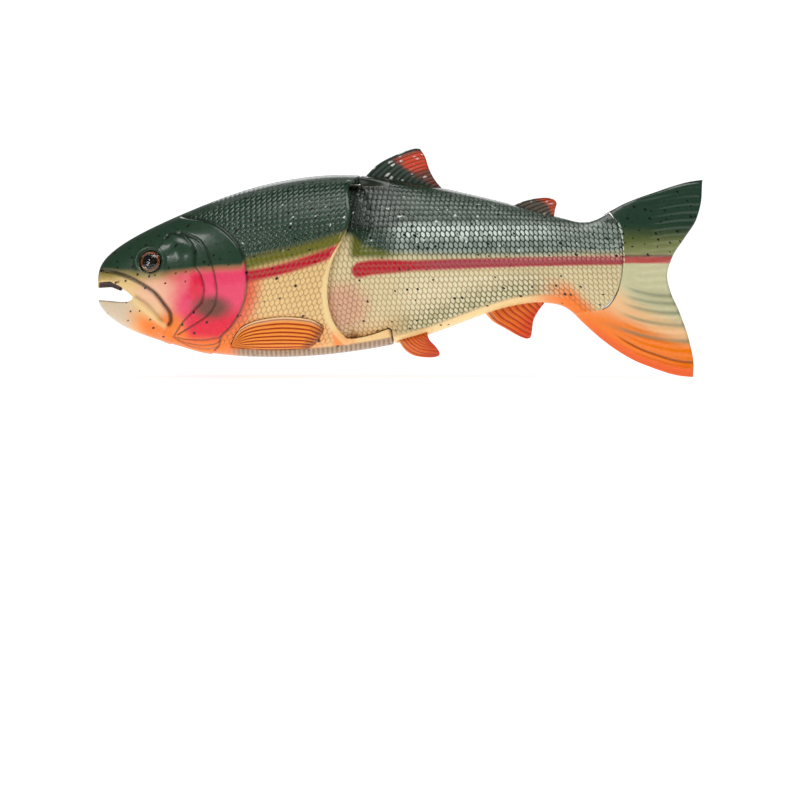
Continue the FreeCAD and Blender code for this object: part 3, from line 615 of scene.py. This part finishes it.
def body_paint(name, undercoat, coats, pearl_and_highlight_strength):
    """The body's coats with its scales: a wash between them, pale pearl and painted highlights on some,
    painted glints on the green, and flecks over all.
    """
    made, tree, shader, colour, mist, place = airbrushed(name, undercoat, coats)
    edge, du, chance = scales(tree)
    scaled, green, keel_shade = read(tree, "scaled"), read(tree, "green"), read(tree, "keel_shade")
    line = times(tree, rest(tree, rise(tree, edge, 0.02, 0.34)), scaled)
    # brown wash left between the scales low down, a paler edge on the green, which is painted highlight
    low = times(tree, line, rest(tree, green))
    wash = mix(tree, read(tree, "olive"), paint(146, 98, 48), paint(84, 92, 30))
    colour = mix(tree, times(tree, low, wash_share), colour, wash)
    colour = mix(tree, times(tree, times(tree, line, green), dark_edge_share), colour, paint(8, 18, 12))
    thin = times(tree, rise(tree, edge, 0.05, 0.16), rest(tree, rise(tree, edge, 0.24, 0.40)))
    edge_highlight = times(tree, rise(tree, du, 0.05, 0.45), thin)
    edge_highlight = times(tree, times(tree, edge_highlight, scaled), green)
    edge_highlight = times(tree, edge_highlight, calc(tree, "MULTIPLY_ADD", chance, 0.6, edge_highlight_least))
    colour = mix(tree, edge_highlight, colour, paint(124, 146, 126))
    # pale scale centres, mostly painted highlight: the softbox's reflection on the scales put in as
    # colour
    lively = calc(tree, "MULTIPLY_ADD", rise(tree, chance, 0.0, 0.5), 1 - pearl_and_highlight_least, pearl_and_highlight_least)
    pearl_and_highlight = times(tree, rise(tree, edge, 0.16, 0.40), read(tree, "pearl_and_highlight"), lively)
    pearl_and_highlight_white = mix(tree, green, paint(240, 232, 198), paint(228, 238, 228))
    colour = mix(tree, times(tree, pearl_and_highlight, pearl_and_highlight_strength), colour, pearl_and_highlight_white)
    # painted glints: small white highlights on the green scales, put in as colour
    painted_glint = rise(tree, noise(tree, place, 430.0, 1.5), 0.70, 0.75)
    colour = mix(tree, times(tree, painted_glint, green, scaled), colour, paint(214, 226, 214))
    rib = node(tree, "TexWave", {"Vector": place, "Scale": 160.0}, bands_direction="X").outputs["Fac"]
    ribs = times(tree, rib, calc(tree, "ADD", read(tree, "ridge"), keel_shade))
    # lighter ribs over the keel's painted shade band
    colour = mix(tree, times(tree, rib, keel_shade, keel_rib_share), colour, paint(196, 176, 150))
    colour = mix(tree, read(tree, "lip"), colour, paint(246, 216, 150))
    # near black in the grooves: painted shade
    colour = mix(tree, times(tree, read(tree, "groove"), groove_shade_share), colour, paint(20, 16, 12))
    colour = mix(tree, read(tree, "socket"), colour, paint(34, 40, 30))
    colour = mix(tree, read(tree, "mouth"), colour, paint(70, 42, 34))
    fleck = spots(tree, fleck_spacing, fleck_size, fleck_density)
    colour = mix(tree, fleck, colour, paint(10, 10, 12))
    feed(tree, shader, Base_Color=colour)
    height = calc(tree, "MULTIPLY_ADD", du, scale_tip, rise(tree, edge, 0.0, 0.5))
    height = calc(tree, "ADD", times(tree, height, scaled), times(tree, ribs, rib_height))
    height = calc(tree, "MULTIPLY_ADD", mist, mist_height, height)
    bump = node(tree, "Bump", {"Strength": 0.7, "Distance": 0.12 * mm, "Height": height})
    feed(tree, shader, Normal=bump.outputs[0])
    worn = calc(tree, "MULTIPLY_ADD", mist, 0.18, 0.18)
    feed(tree, shader, Roughness=worn)
    return made


front_paint = body_paint("front_paint", paint(244, 206, 140), front_coats, 0.0)
halves(front_mesh, "front_skin", "front_section", front_masks, front_paint)


# ---- rear section's two half shells ----
# Two more ABS halves behind the joint: dished sides that the skirts swing over, the upright barrel
# on the hinge pin, and the wrist that holds the tail. Same scales, paint and lacquer.
# the green's lower edge, then the stripe's middle and half width, against distance from the nose
rear_green = [(96, 28), (106, 26), (113, 21), (125, 18.5), (150, 17.6), (180, 17.6), (206, 18.5)]
rear_stripe = [(100, 11.2), (106.6, 11.2), (116.3, 12.6), (131.4, 13.2), (152.0, 14.0), (177.3, 14.8),
               (210, 15.6)]
rear_stripe_half = [(100, 3.3), (112, 3.3), (122, 2.9), (134, 2.1), (150, 1.9), (210, 1.8)]
seam_line = [(211.0, 40.0), (214.3, 35.7), (216.6, 33.0), (219.7, 24.0), (220.3, 15.6), (218.5, 3.8),
             (212.2, -5.0), (204.2, -10.5), (197.0, -13.5)]
# the room between the front section's shelf and knuckle that the barrel stands in
shelf_z, shelf_radius, shelf_rise, knuckle_z, barrel_radius = -19.6, 24.2, 5.5, 47.2, 22.5


def rear_grid(d, arc):
    return d + 0.30 * arc + 0.22 * (arc - 14) * soft(d, 150, 205), arc - 0.02 * d


def rear_scaled(z, back, belly, seam):
    return soft(np.abs(seam), 0.4, 1.2) * soft(z - belly, 3.2, 5.5) * soft(back - z, 1.5, 4.0)


def rear_outside(d, y, z):
    out, arc, back, belly = skin(d, y, z, True)
    axis_away = np.hypot(d - hinge_from_nose, y)
    seam = from_line(seam_line, d, z)
    room = (z > shelf_z + 0.9 + shelf_rise * (axis_away / shelf_radius) ** 2) & (z < knuckle_z - 0.9)
    outside = np.where(axis_away < barrel_radius, room * soft(d, 91, 96), soft(out, 0.90, 0.95))
    return outside, arc, back, belly, seam


rear_mesh = solid_copy(["rear_shell_left", "rear_shell_right"], shell_voxel)
d, y, z = rows_of(coordinates(rear_mesh))
outside, arc, back, belly, seam = rear_outside(d, y, z)
edge, behind = scale_edge(*rear_grid(d, arc))
rear_scale_rise, rear_scale_tilt, top_rise = 0.24, 0.12, 0.45
relief = rear_scale_rise * soft(edge, 0, 0.55) + rear_scale_tilt * (behind / scale_along - 1)
push(rear_mesh, relief * rear_scaled(z, back, belly, seam) * outside)
# the barrel's flat top, raised to close the slot under the knuckle
co = coordinates(rear_mesh)
d, y, z = rows_of(co)
axis_away = np.hypot(d - hinge_from_nose, y)
top = (z > knuckle_z - 1) & (values_of(rear_mesh.vertices, "normal", 3)[:, 2] > 0.6)
co[:, 2] += top * top_rise * mm * soft(axis_away, 10.6, 10.0)
place_at(rear_mesh, co)


def rear_masks(co):
    d, y, z = rows_of(co)
    outside, arc, back, belly, seam = rear_outside(d, y, z)
    u, v = rear_grid(d, arc)
    line, stripe = flow(rear_green, d), z - flow(rear_stripe, d)
    half = flow(rear_stripe_half, d)
    low = z - belly
    bar = 1 - soft(np.hypot(np.maximum(110 - d, 0), stripe), half - 0.8, half + 0.8)
    # pearl and painted highlight on the scales: the bright rows are painted highlights, the paler ones
    # under them, painted glint ticks above, and those along the belly
    pearl_and_highlight = np.max([
        soft(d, 118, 130) * soft(z, 21, 26) * soft(z, 33, 29) * (1 - 0.6 * soft(d, 176, 204)),
        0.45 * soft(d, 118, 128) * soft(z, 15, 17) * soft(z, 28, 23),
        0.17 * soft(d, 106, 112) * soft(z, 28, 32) * soft(z, 48, 40) * soft(d, 205, 190),
        0.75 * soft(d, 122, 136) * soft(z, 11, 8) * soft(low, 2.5, 5)
        * soft(d, 200, 184)], 0)
    olive = np.max([
        soft(d, 104, 108) * soft(d, 136, 122) * soft(z, 15, 18) * soft(z, 30, 26),
        0.85 * soft(d, 116, 138) * soft(d, 200, 178) * soft(low, 17, 6)
        * soft(low, 2.6, 4.5),
        # the olive puff under the ridge by the joint is a painted reflection of warm light in the dish
        0.5 * hump(z - line, 2.4), 0.8 * puff(d, z, (114, 47), (8, 4))], 0)
    return {"scale_u": u, "scale_v": v, "socket": 1 - outside} | on_skin(outside, {
        "scaled": rear_scaled(z, back, belly, seam), "green": soft(z - line, -1.6, 2.0), "olive": olive,
        "stripe": bar, "rose": bar * soft(d, 126, 146), "pearl_and_highlight": pearl_and_highlight,
        # dark: painted shade in the dished pocket by the joint, and darker paint along the back
        "dark": np.maximum(soft(z, 25, 31) * soft(d, 142, 116), soft(back - z, 9, 3) * 0.35),
        "orange": soft(d, 176, 197) * soft(low, 13, 5),
        "blush": 0.8 * puff(d, z, (103, -4), (13, 13)),
        # the groove along the tail's seam gets painted shade
        "peach": 0.6 * soft(low, 15, 5) * soft(d, 104, 112), "groove": 0.5 * hump(seam, 0.4),
        "ridge": soft(back - z, 3.4, 2.0) * soft(d, 142, 150) * 0.5,
        "lip": 0.8 * soft(low, 3.6, 2.6) * soft(d, 190, 174),
        "spotted": 0.4 + 0.35 * soft(z, line - 4, line + 4)})


# the dark coat paints shade into the pocket by the joint and darkens the back
rear_coats = [("peach", (240, 190, 130)), ("blush", (222, 162, 134)),
              ("orange", (250, 122, 0)), ("olive", (104, 108, 30)),
              ("green", (30, 60, 38)), ("stripe", (192, 0, 42)), ("rose", (178, 60, 80)),
              ("dark", (6, 18, 6)), ("ridge", (78, 90, 80))]
rear_paint = body_paint("rear_paint", paint(232, 216, 168), rear_coats, 0.95)
halves(rear_mesh, "rear_skin", "rear_section", rear_masks, rear_paint)


# ---- fins ----
# Flat castings of soft vinyl, glued by their roots into slots in the body; the pectoral fins lie in
# shallow recesses in the sides. Each has raised rays that fan out from the root, painted by hand.
def along(points, t):
    """Points of a drawn line at shares t of its length."""
    points = np.array(points, float)
    reach = np.r_[0, np.cumsum(np.hypot(*np.diff(points, axis=0).T))]
    return curve(points, reach / reach[-1], t)


def patch(root, margin, lead, trail, a, b):
    """A fin's outline filled in: a runs from root to margin, b from the leading ray to the last.
    lead and trail are the points between the ends of the root and of the margin."""
    lead, trail = [root[0], *lead, margin[0]], [root[-1], *trail, margin[-1]]
    a2, b2 = a[:, None], b[:, None]
    corner = [np.array(root[0]), np.array(root[-1]), np.array(margin[0]), np.array(margin[-1])]
    flat = ((1 - a2) * (1 - b2) * corner[0] + (1 - a2) * b2 * corner[1]
            + a2 * (1 - b2) * corner[2] + a2 * b2 * corner[3])
    return ((1 - b2) * along(lead, a) + b2 * along(trail, a)
            + (1 - a2) * along(root, b) + a2 * along(margin, b) - flat)


def double_sheet(name, out_steps, ray_steps, shape):
    """A closed two-sided sheet: shape gives each point's place from its share out, its share across
    the rays and its side."""
    bm = bmesh.new()
    bmesh.ops.create_grid(bm, x_segments=out_steps, y_segments=ray_steps, size=0.5)
    bmesh.ops.solidify(bm, geom=bm.faces[:], thickness=0.01)
    made = put(bm, name)
    co = coordinates(made.data)
    side = np.where(np.abs(co[:, 2]) > 0.005, 1.0, -1.0)
    a, b = np.clip(co[:, 0] + 0.5, 0, 1), np.clip(co[:, 1] + 0.5, 0, 1)
    place_at(made.data, shape(a, b, side) * mm)
    bm = bmesh.new()
    bm.from_mesh(made.data)
    bmesh.ops.recalc_face_normals(bm, faces=bm.faces)
    bm.to_mesh(made.data)
    bm.free()
    made.data.shade_smooth()
    store(made.data, {"out": a, "ray": b})
    return made


fin_ray_depth, fin_thick, fin_buried = 0.28, 0.72, 1.4


def ray_height(a, b, rays, depth):
    return depth * (np.abs(np.cos(math.pi * rays * b)) - 0.6) * soft(a, 0.02, 0.2)


def fin_thickness(a, b, rays):
    body = fin_thick * (1 - 0.45 * a) + ray_height(a, b, rays, fin_ray_depth)
    rounding = np.sqrt(soft(b, -0.01, 0.05) * soft(b, 1.01, 0.96) * soft(a, 1.01, 0.95))
    return 0.12 + body * rounding


def body_line(start, end, deep=0.0, on_back=True, steps=7):
    """Points along the back or the belly, at a depth under the skin."""
    d = np.linspace(start, end, steps)
    back, belly, _, _ = section(d)
    return [tuple(p) for p in np.c_[d, back - deep if on_back else belly + deep]]


def flat_fin(name, root, margin, lead, trail, rays, lean=None):
    def shape(a, b, side):
        p = patch(root, margin, lead, trail, a, b)
        y = side * fin_thickness(a, b, rays)
        placed = np.c_[p[:, 0] - mouth_depth, y, p[:, 1]]
        return lean(placed) if lean else placed
    return double_sheet(name, 40, 150, shape)


def fin_paint(name, rays, base, ray_colour, coats, ray_share=0.7, painted_glints=0.0, gloss=0.30):
    """Fin colours follow the fin's own rays: out from the root, and across them."""
    made, tree, shader = surface(name, Roughness=gloss, Specular_IOR_Level=0.35, Coat_Weight=0.3,
                                 Coat_Roughness=0.12)
    place = own_place(tree)
    mist = noise(tree, place, 300.0, 4.0)
    a, b = read(tree, "out"), read(tree, "ray")
    wave = calc(tree, "ABSOLUTE", calc(tree, "COSINE", times(tree, b, math.pi * rays)))
    ridge = rise(tree, calc(tree, "MULTIPLY_ADD", mist, 0.3, wave), 0.55, 1.05)
    colour = mix(tree, times(tree, ridge, ray_share), base, ray_colour)
    drift = calc(tree, "MULTIPLY_ADD", calc(tree, "SUBTRACT", mist, 0.5), 0.25, a)
    for (low, high), (first, last), coat in coats:
        share = times(tree, rise(tree, drift, low, high), rise(tree, b, first, last), 0.85)
        colour = mix(tree, share, colour, coat)
    # painted shade between the raised rays
    pit_shade = times(tree, rest(tree, rise(tree, wave, 0.05, 0.75)), 0.6)
    # painted glints: white highlights along some rays, put in as colour
    painted_glint = times(tree, rise(tree, noise(tree, place, 340.0, 1.0), 0.60, 0.68), painted_glints)
    painted_glint = times(tree, painted_glint, rise(tree, wave, 0.55, 0.9))
    colour = mix(tree, painted_glint, colour, paint(236, 238, 230))
    colour = mix(tree, pit_shade, colour, tuple(0.35 * c for c in base[:3]) + (1,))
    feed(tree, shader, Base_Color=colour)
    fine = calc(tree, "COSINE", times(tree, b, 2 * math.pi * rays * 3))
    bump = node(tree, "Bump", {"Strength": 0.6, "Distance": 0.1 * mm,
                               "Height": calc(tree, "MULTIPLY_ADD", mist, 0.5, fine)})
    feed(tree, shader, Normal=bump.outputs[0])
    return made


dorsal_root = body_line(111.4, 144.6, fin_buried)
dorsal = flat_fin("dorsal_fin_skin", dorsal_root,
                  [(135.2, 62.2), (137.2, 59.2), (139.1, 53.6), (141.2, 49.6), (145.0, 45.0)],
                  [(117.5, 55.7), (123.5, 59.0), (129.3, 61.3), (133.6, 62.4)], [], 13)
dorsal.data.materials.append(fin_paint("dorsal_paint", 13, paint(16, 34, 22), paint(78, 98, 80), [
    ((0.42, 0.62), (0.02, 0.14), paint(240, 66, 10)),
    ((0.2, 0.6), (0.40, 0.54), paint(80, 50, 26))], 0.45, 0.8))
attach(dorsal, "rear_section")
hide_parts("dorsal_fin")

adipose_root = body_line(173.0, 191.4, fin_buried)
adipose = flat_fin("adipose_fin_skin", adipose_root,
                   [(189.6, 41.6), (191.6, 40.9), (192.6, 39.3), (191.9, 36.6), (191.6, 34.2)],
                   [(178.5, 40.2), (184.1, 41.5), (188.2, 41.8)], [], 7)
adipose.data.materials.append(fin_paint("adipose_paint", 7, paint(26, 30, 20), paint(120, 96, 66), [
    ((0.55, 0.80), (0.0, 0.05), paint(224, 70, 16))], 0.55, 0.6))
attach(adipose, "rear_section")
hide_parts("adipose_fin")

orange_coats = [((0.40, 1.0), (-0.2, 0.0), paint(222, 50, 0)),
                ((0.4, 0.0), (0.16, 0.0), paint(250, 196, 130))]
anal_root = body_line(161.9, 187.7, fin_buried, on_back=False)
anal = flat_fin("anal_fin_skin", anal_root,
                [(180.2, -17.5), (181.6, -17.0), (182.1, -15.6), (182.9, -10.0), (184.6, -6.4),
                 (187.9, -2.0)],
                [(166.0, -10.2), (170.9, -13.0), (178.4, -17.0)], [], 9)
orange_fin = fin_paint("fin_orange", 9, paint(232, 84, 0), paint(246, 138, 30), orange_coats, 0.5)
anal.data.materials.append(orange_fin)
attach(anal, "rear_section")
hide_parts("anal_fin")

pelvic_root = [(125.8, -18.6), (129.5, -17.6), (133.8, -16.2), (138.2, -14.6)]
pelvic_middle = (125.8 + 138.2) / 2
pelvic_pivot = np.array((pelvic_middle - mouth_depth, 0, section(pelvic_middle)[1]))
pelvic_slope = math.atan2(-16.1 + 19.8, 138.2 - 125.8)
pelvic_splay, pelvic_apart, pelvic_raised = 20.0, 3.6, 0.8
for side, name in ((-1, "left"), (1, "right")):
    def lean(placed):
        axis = Vector((math.cos(pelvic_slope), 0, math.sin(pelvic_slope)))
        turn = np.array(Matrix.Rotation(math.radians(side * pelvic_splay), 3, axis))
        return (placed - pelvic_pivot) @ turn.T + pelvic_pivot + (0, side * pelvic_apart, pelvic_raised)
    pelvic = flat_fin("pelvic_fin_skin_" + name, pelvic_root,
                      [(141.6, -26.4), (143.2, -25.8), (143.6, -25.0), (142.1, -22.3), (139.2, -18.9),
                       (138.2, -16.1)],
                      [(129.4, -23.4), (134.0, -25.9), (139.5, -26.5)], [], 8, lean)
    pelvic.data.materials.append(orange_fin)
    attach(pelvic, "rear_section")
    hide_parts("pelvic_fin_" + name)


def side_at(d, z):
    """The plain body's half width at a height."""
    back, belly, half, square = section(d)
    up = np.clip(np.abs(z - (back + belly) / 2) / ((back - belly) / 2), 0, 0.9999)
    return half * (1 - up ** square) ** (1 / square)


pectoral_rays, pectoral_ray_depth, pectoral_thick, pectoral_buried = 8, 0.50, 0.55, 0.8
pectoral_paint = fin_paint("pectoral_paint", pectoral_rays, paint(226, 78, 0), paint(250, 172, 34), [
    ((-0.2, 0.0), (0.16, 0.0), paint(252, 226, 176)),
    ((0.86, 1.0), (-0.2, 0.0), paint(150, 70, 24))])
for side, name in ((-1, "left"), (1, "right")):
    def shape(a, b, layer):
        p = patch([(56.2, -20.3), (56.2, -20.6)],
                  [(94.8, -11.9), (94.5, -13.7), (92.4, -17.5), (88.4, -21.2)],
                  [(58.1, -16.2), (61.3, -12.3), (68.4, -9.4), (79.0, -8.1), (88.9, -9.0)],
                  [(72.0, -21.6)], a, b)
        rounding = np.sqrt(soft(b, -0.01, 0.06) * soft(b, 1.01, 0.95) * soft(a, 1.01, 0.96))
        proud = pectoral_thick + ray_height(a, b, pectoral_rays, pectoral_ray_depth)
        y = side_at(p[:, 0], p[:, 1]) + np.where(layer > 0, 0.05 + proud * rounding, -pectoral_buried)
        return np.c_[p[:, 0] - mouth_depth, side * y, p[:, 1]]
    pectoral = double_sheet("pectoral_fin_skin_" + name, 70, 140, shape)
    pectoral.data.materials.append(pectoral_paint)
    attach(pectoral, "front_section")
    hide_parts("pectoral_fin_" + name)


# ---- tail ----
# One soft vinyl casting with a plug that is pinned in the wrist; on the lure it bends from the wrist
# back, but this skin is built straight, as one piece that follows the body at the seam. Fine rays and
# a few broad folds are cast in, and the body's colours are sprayed on.
tail_edge = [(254.6, 56.3), (253.8, 49.0), (253.4, 41.5), (251.3, 32.8), (246.3, 24.8), (241.2, 16.8),
             (239.0, 9.0), (240.6, 2.0), (244.0, -5.6), (248.4, -18.0), (250.4, -29.0), (250.0, -33.4)]
tail_gap = 0.25
top_line = body_line(211.6, 254.8, steps=12)
bottom_line = body_line(199.6, 250.2, on_back=False, steps=12)
tail_root_line = [top_line[0]] + [(d + tail_gap, z) for d, z in seam_line if -9.5 < z < 38]
tail_root_line += [bottom_line[0]]
tail_edge = [top_line[-1]] + tail_edge[1:-1] + [bottom_line[-1]]
# the lower lobe's folds, each with its height at the seam and at the edge
tail_folds = [(6.2, 0.6), (2.6, -2.6), (-0.4, -6.6), (-3.4, -11.8), (-7.5, -18.4)]


def fold_line(heights, a):
    start, end = heights
    return start + (end - start) * (1 - (1 - a) ** 2)


def tail_relief(a, b, z):
    fold = sum(0.30 * hump(z - fold_line(f, a) - 1.2, 1.0) for f in tail_folds)
    rays = 0.10 * np.cos(2 * math.pi * 26 * b) * soft(a, 0.25, 0.6)
    groove = -0.45 * hump(b - 0.90 - 0.03 * a, 0.008) * soft(a, 0.25, 0.5)
    return fold * soft(a, 0.1, 0.5) + rays + groove


def tail_shape(a, b, side):
    b = (1 - np.cos(math.pi * b)) / 2
    p = patch(tail_root_line, tail_edge, top_line[1:-1], bottom_line[1:-1], a, b)
    d, z = p[:, 0], p[:, 1]
    back, belly, _, _ = section(d)
    rim = soft(b, -0.001, 0.02) * soft(b, 1.001, 0.98)
    half = side_at(d, np.clip(z, belly, back)) * soft(a, 1.02, 0.97) ** 0.5
    y = 0.10 + half + tail_relief(a, b, z) * rim * soft(a, 1.0, 0.97)
    return np.c_[d - mouth_depth, side * np.maximum(y, 0.08), z]


tail = double_sheet("tail_skin", 150, 260, tail_shape)
d, y, z = rows_of(coordinates(tail.data))
a, b = (values_of(tail.data.attributes[name].data, "value") for name in ("out", "ray"))
b = (1 - np.cos(math.pi * b)) / 2
streak = np.max([hump(z - fold_line(f, a), 0.55 + 0.5 * a) for f in tail_folds], 0)
u, v = rear_grid(d, z)
lobe = -4 - 15 * a
store(tail.data, {
    "scale_u": u, "scale_v": v,
    "green": soft(z, 17, 24 + 3 * a), "lime": 0.75 * soft(z, 16.5, 19) * soft(z, 31, 21),
    "stripe": (1 - soft(np.abs(z - 15.7), 1.0, 1.9)) * 0.9,
    "edge": 0.8 * hump(z - 17.4, 0.6), "streak": 0.7 * streak * soft(a, 0.06, 0.45),
    "peach": soft(z, lobe + 12, lobe + 2), "orange": soft(z, lobe + 2, lobe - 4),
    "rust": soft(b, 0.92, 0.985) * soft(a, 0.0, 0.3),
    # groove: painted shade in the tail's cut groove
    "groove": hump(b - 0.90 - 0.03 * a, 0.007) * soft(a, 0.25, 0.5) * 0.7,
    # the pale band along the seam is a painted highlight
    "pearl_and_highlight": soft(a, 0.045, 0.02) * soft(z, 8, 14) * soft(z, 34, 28),
    "spotted": 1.6 * soft(z, 14, 24)})
tail_coats = [("peach", (248, 196, 138)), ("orange", (250, 126, 0)), ("rust", (240, 94, 0)),
              ("streak", (112, 120, 86)), ("green", (32, 60, 42)), ("lime", (110, 118, 58)),
              ("stripe", (190, 50, 60)), ("edge", (70, 14, 20))]
tail.data.materials.append(body_paint("tail_paint", paint(216, 212, 168), tail_coats, 0.9))
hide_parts("tail_root", "tail_blade")
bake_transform(tail)


# ---- eyes ----
# Glued-in glass eyes: a copper iris disc whose black rim is painted shadow of the socket's edge, a
# black pupil on it and a clear dome over both.
def recoat(name, material):
    """One of the frame's own nodes in a material made here."""
    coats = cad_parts[name].data.materials
    coats.clear()
    coats.append(material)


eye_turn, eye_tilt, eye_sink = 16.0, 9.0, 1.9
eye_half = float(side_at(*np.array(eye_centre)[:, None])[0])
for side, name in ((-1, "left"), (1, "right")):
    turn, tilt = math.radians(eye_turn), math.radians(eye_tilt)
    level = math.cos(tilt)
    out = Vector((-math.sin(turn) * level, side * math.cos(turn) * level, math.sin(tilt)))
    centre = Vector((eye_centre[0] - mouth_depth, side * eye_half, eye_centre[1]))
    centre = (centre - out * eye_sink) * mm
    made, tree, shader = surface("iris_" + name, Roughness=0.22, Metallic=0.25)
    off = node(tree, "VectorMath", {0: own_place(tree), 1: centre}, operation="SUBTRACT").outputs[0]
    from_axis = node(tree, "VectorMath", {0: off, 1: tuple(out)}, operation="CROSS_PRODUCT").outputs[0]
    away = node(tree, "VectorMath", {0: from_axis}, operation="LENGTH").outputs["Value"]
    height = node(tree, "SeparateXYZ", {0: off}).outputs[2]
    grain = noise(tree, off, 1600.0, 4.0)
    copper = mix(tree, grain, paint(166, 74, 20), paint(236, 140, 60))
    cream = rest(tree, rise(tree, height, -3.4 * mm, -1.0 * mm))
    copper = mix(tree, times(tree, cream, 0.7), copper, paint(232, 196, 150))
    # the black rim is painted shadow of the socket's edge; black under the pupil too
    shadow_rim_and_pupil = rise(tree, calc(tree, "MULTIPLY_ADD", grain, 0.3 * mm, away), 4.15 * mm, 4.40 * mm)
    shadow_rim_and_pupil = calc(tree, "MAXIMUM", shadow_rim_and_pupil, rest(tree, rise(tree, away, 2.95 * mm, 3.15 * mm)))
    feed(tree, shader, Base_Color=mix(tree, shadow_rim_and_pupil, copper, paint(8, 8, 8)))
    recoat("eye_iris_" + name, made)

pupil_black, tree, shader = surface("pupil_black", Roughness=0.35, Specular_IOR_Level=0.15)
sparkle = noise(tree, own_place(tree), 900.0)
feed(tree, shader, Base_Color=mix(tree, sparkle, paint(2, 2, 3), paint(9, 8, 8)))
clear_glass, tree, shader = surface("clear_glass", Roughness=0.01, Transmission_Weight=1.0, IOR=1.45)
haze = noise(tree, own_place(tree), 200.0)
feed(tree, shader, Roughness=times(tree, haze, 0.02))
for name in ("left", "right"):
    for part, material in (("eye_pupil_", pupil_black), ("eye_lens_", clear_glass)):
        recoat(part + name, material)


# ---- metal parts ----
# Drawn brass tube for the line, turned brass bushes and a ground steel pin in the joint, cast steel
# ballast in both sections, and two cut steel pins through the tail's plug.
def metal(name, light, dark, roughness, grain):
    made, tree, shader = surface(name, Metallic=1.0, Roughness=roughness)
    stretched = node(tree, "Mapping", {0: own_place(tree), 3: (1.0, 1.0, grain)}).outputs[0]
    lines = noise(tree, stretched, 500.0, 5.0)
    feed(tree, shader, Base_Color=mix(tree, lines, light, dark),
         Roughness=calc(tree, "MULTIPLY_ADD", lines, 0.25, roughness - 0.1))
    bump = node(tree, "Bump", {"Strength": 0.3, "Distance": 0.03 * mm, "Height": lines})
    feed(tree, shader, Normal=bump.outputs[0])
    return made


brass = metal("drawn_brass", paint(214, 176, 96), paint(166, 124, 58), 0.28, 1.0)
turned = metal("turned_brass", paint(208, 170, 92), paint(170, 128, 62), 0.32, 6.0)
ground = metal("ground_steel", paint(200, 202, 206), paint(150, 152, 156), 0.22, 6.0)
cast = metal("cast_steel", paint(120, 120, 122), paint(78, 76, 74), 0.55, 1.0)
for names, material in ((("line_tube",), brass), (("hinge_bush_lower", "hinge_bush_upper"), turned),
                        (("hinge_pin", "tail_pin_lower", "tail_pin_upper"), ground),
                        (("ballast_front", "ballast_rear"), cast)):
    for name in names:
        recoat(name, material)
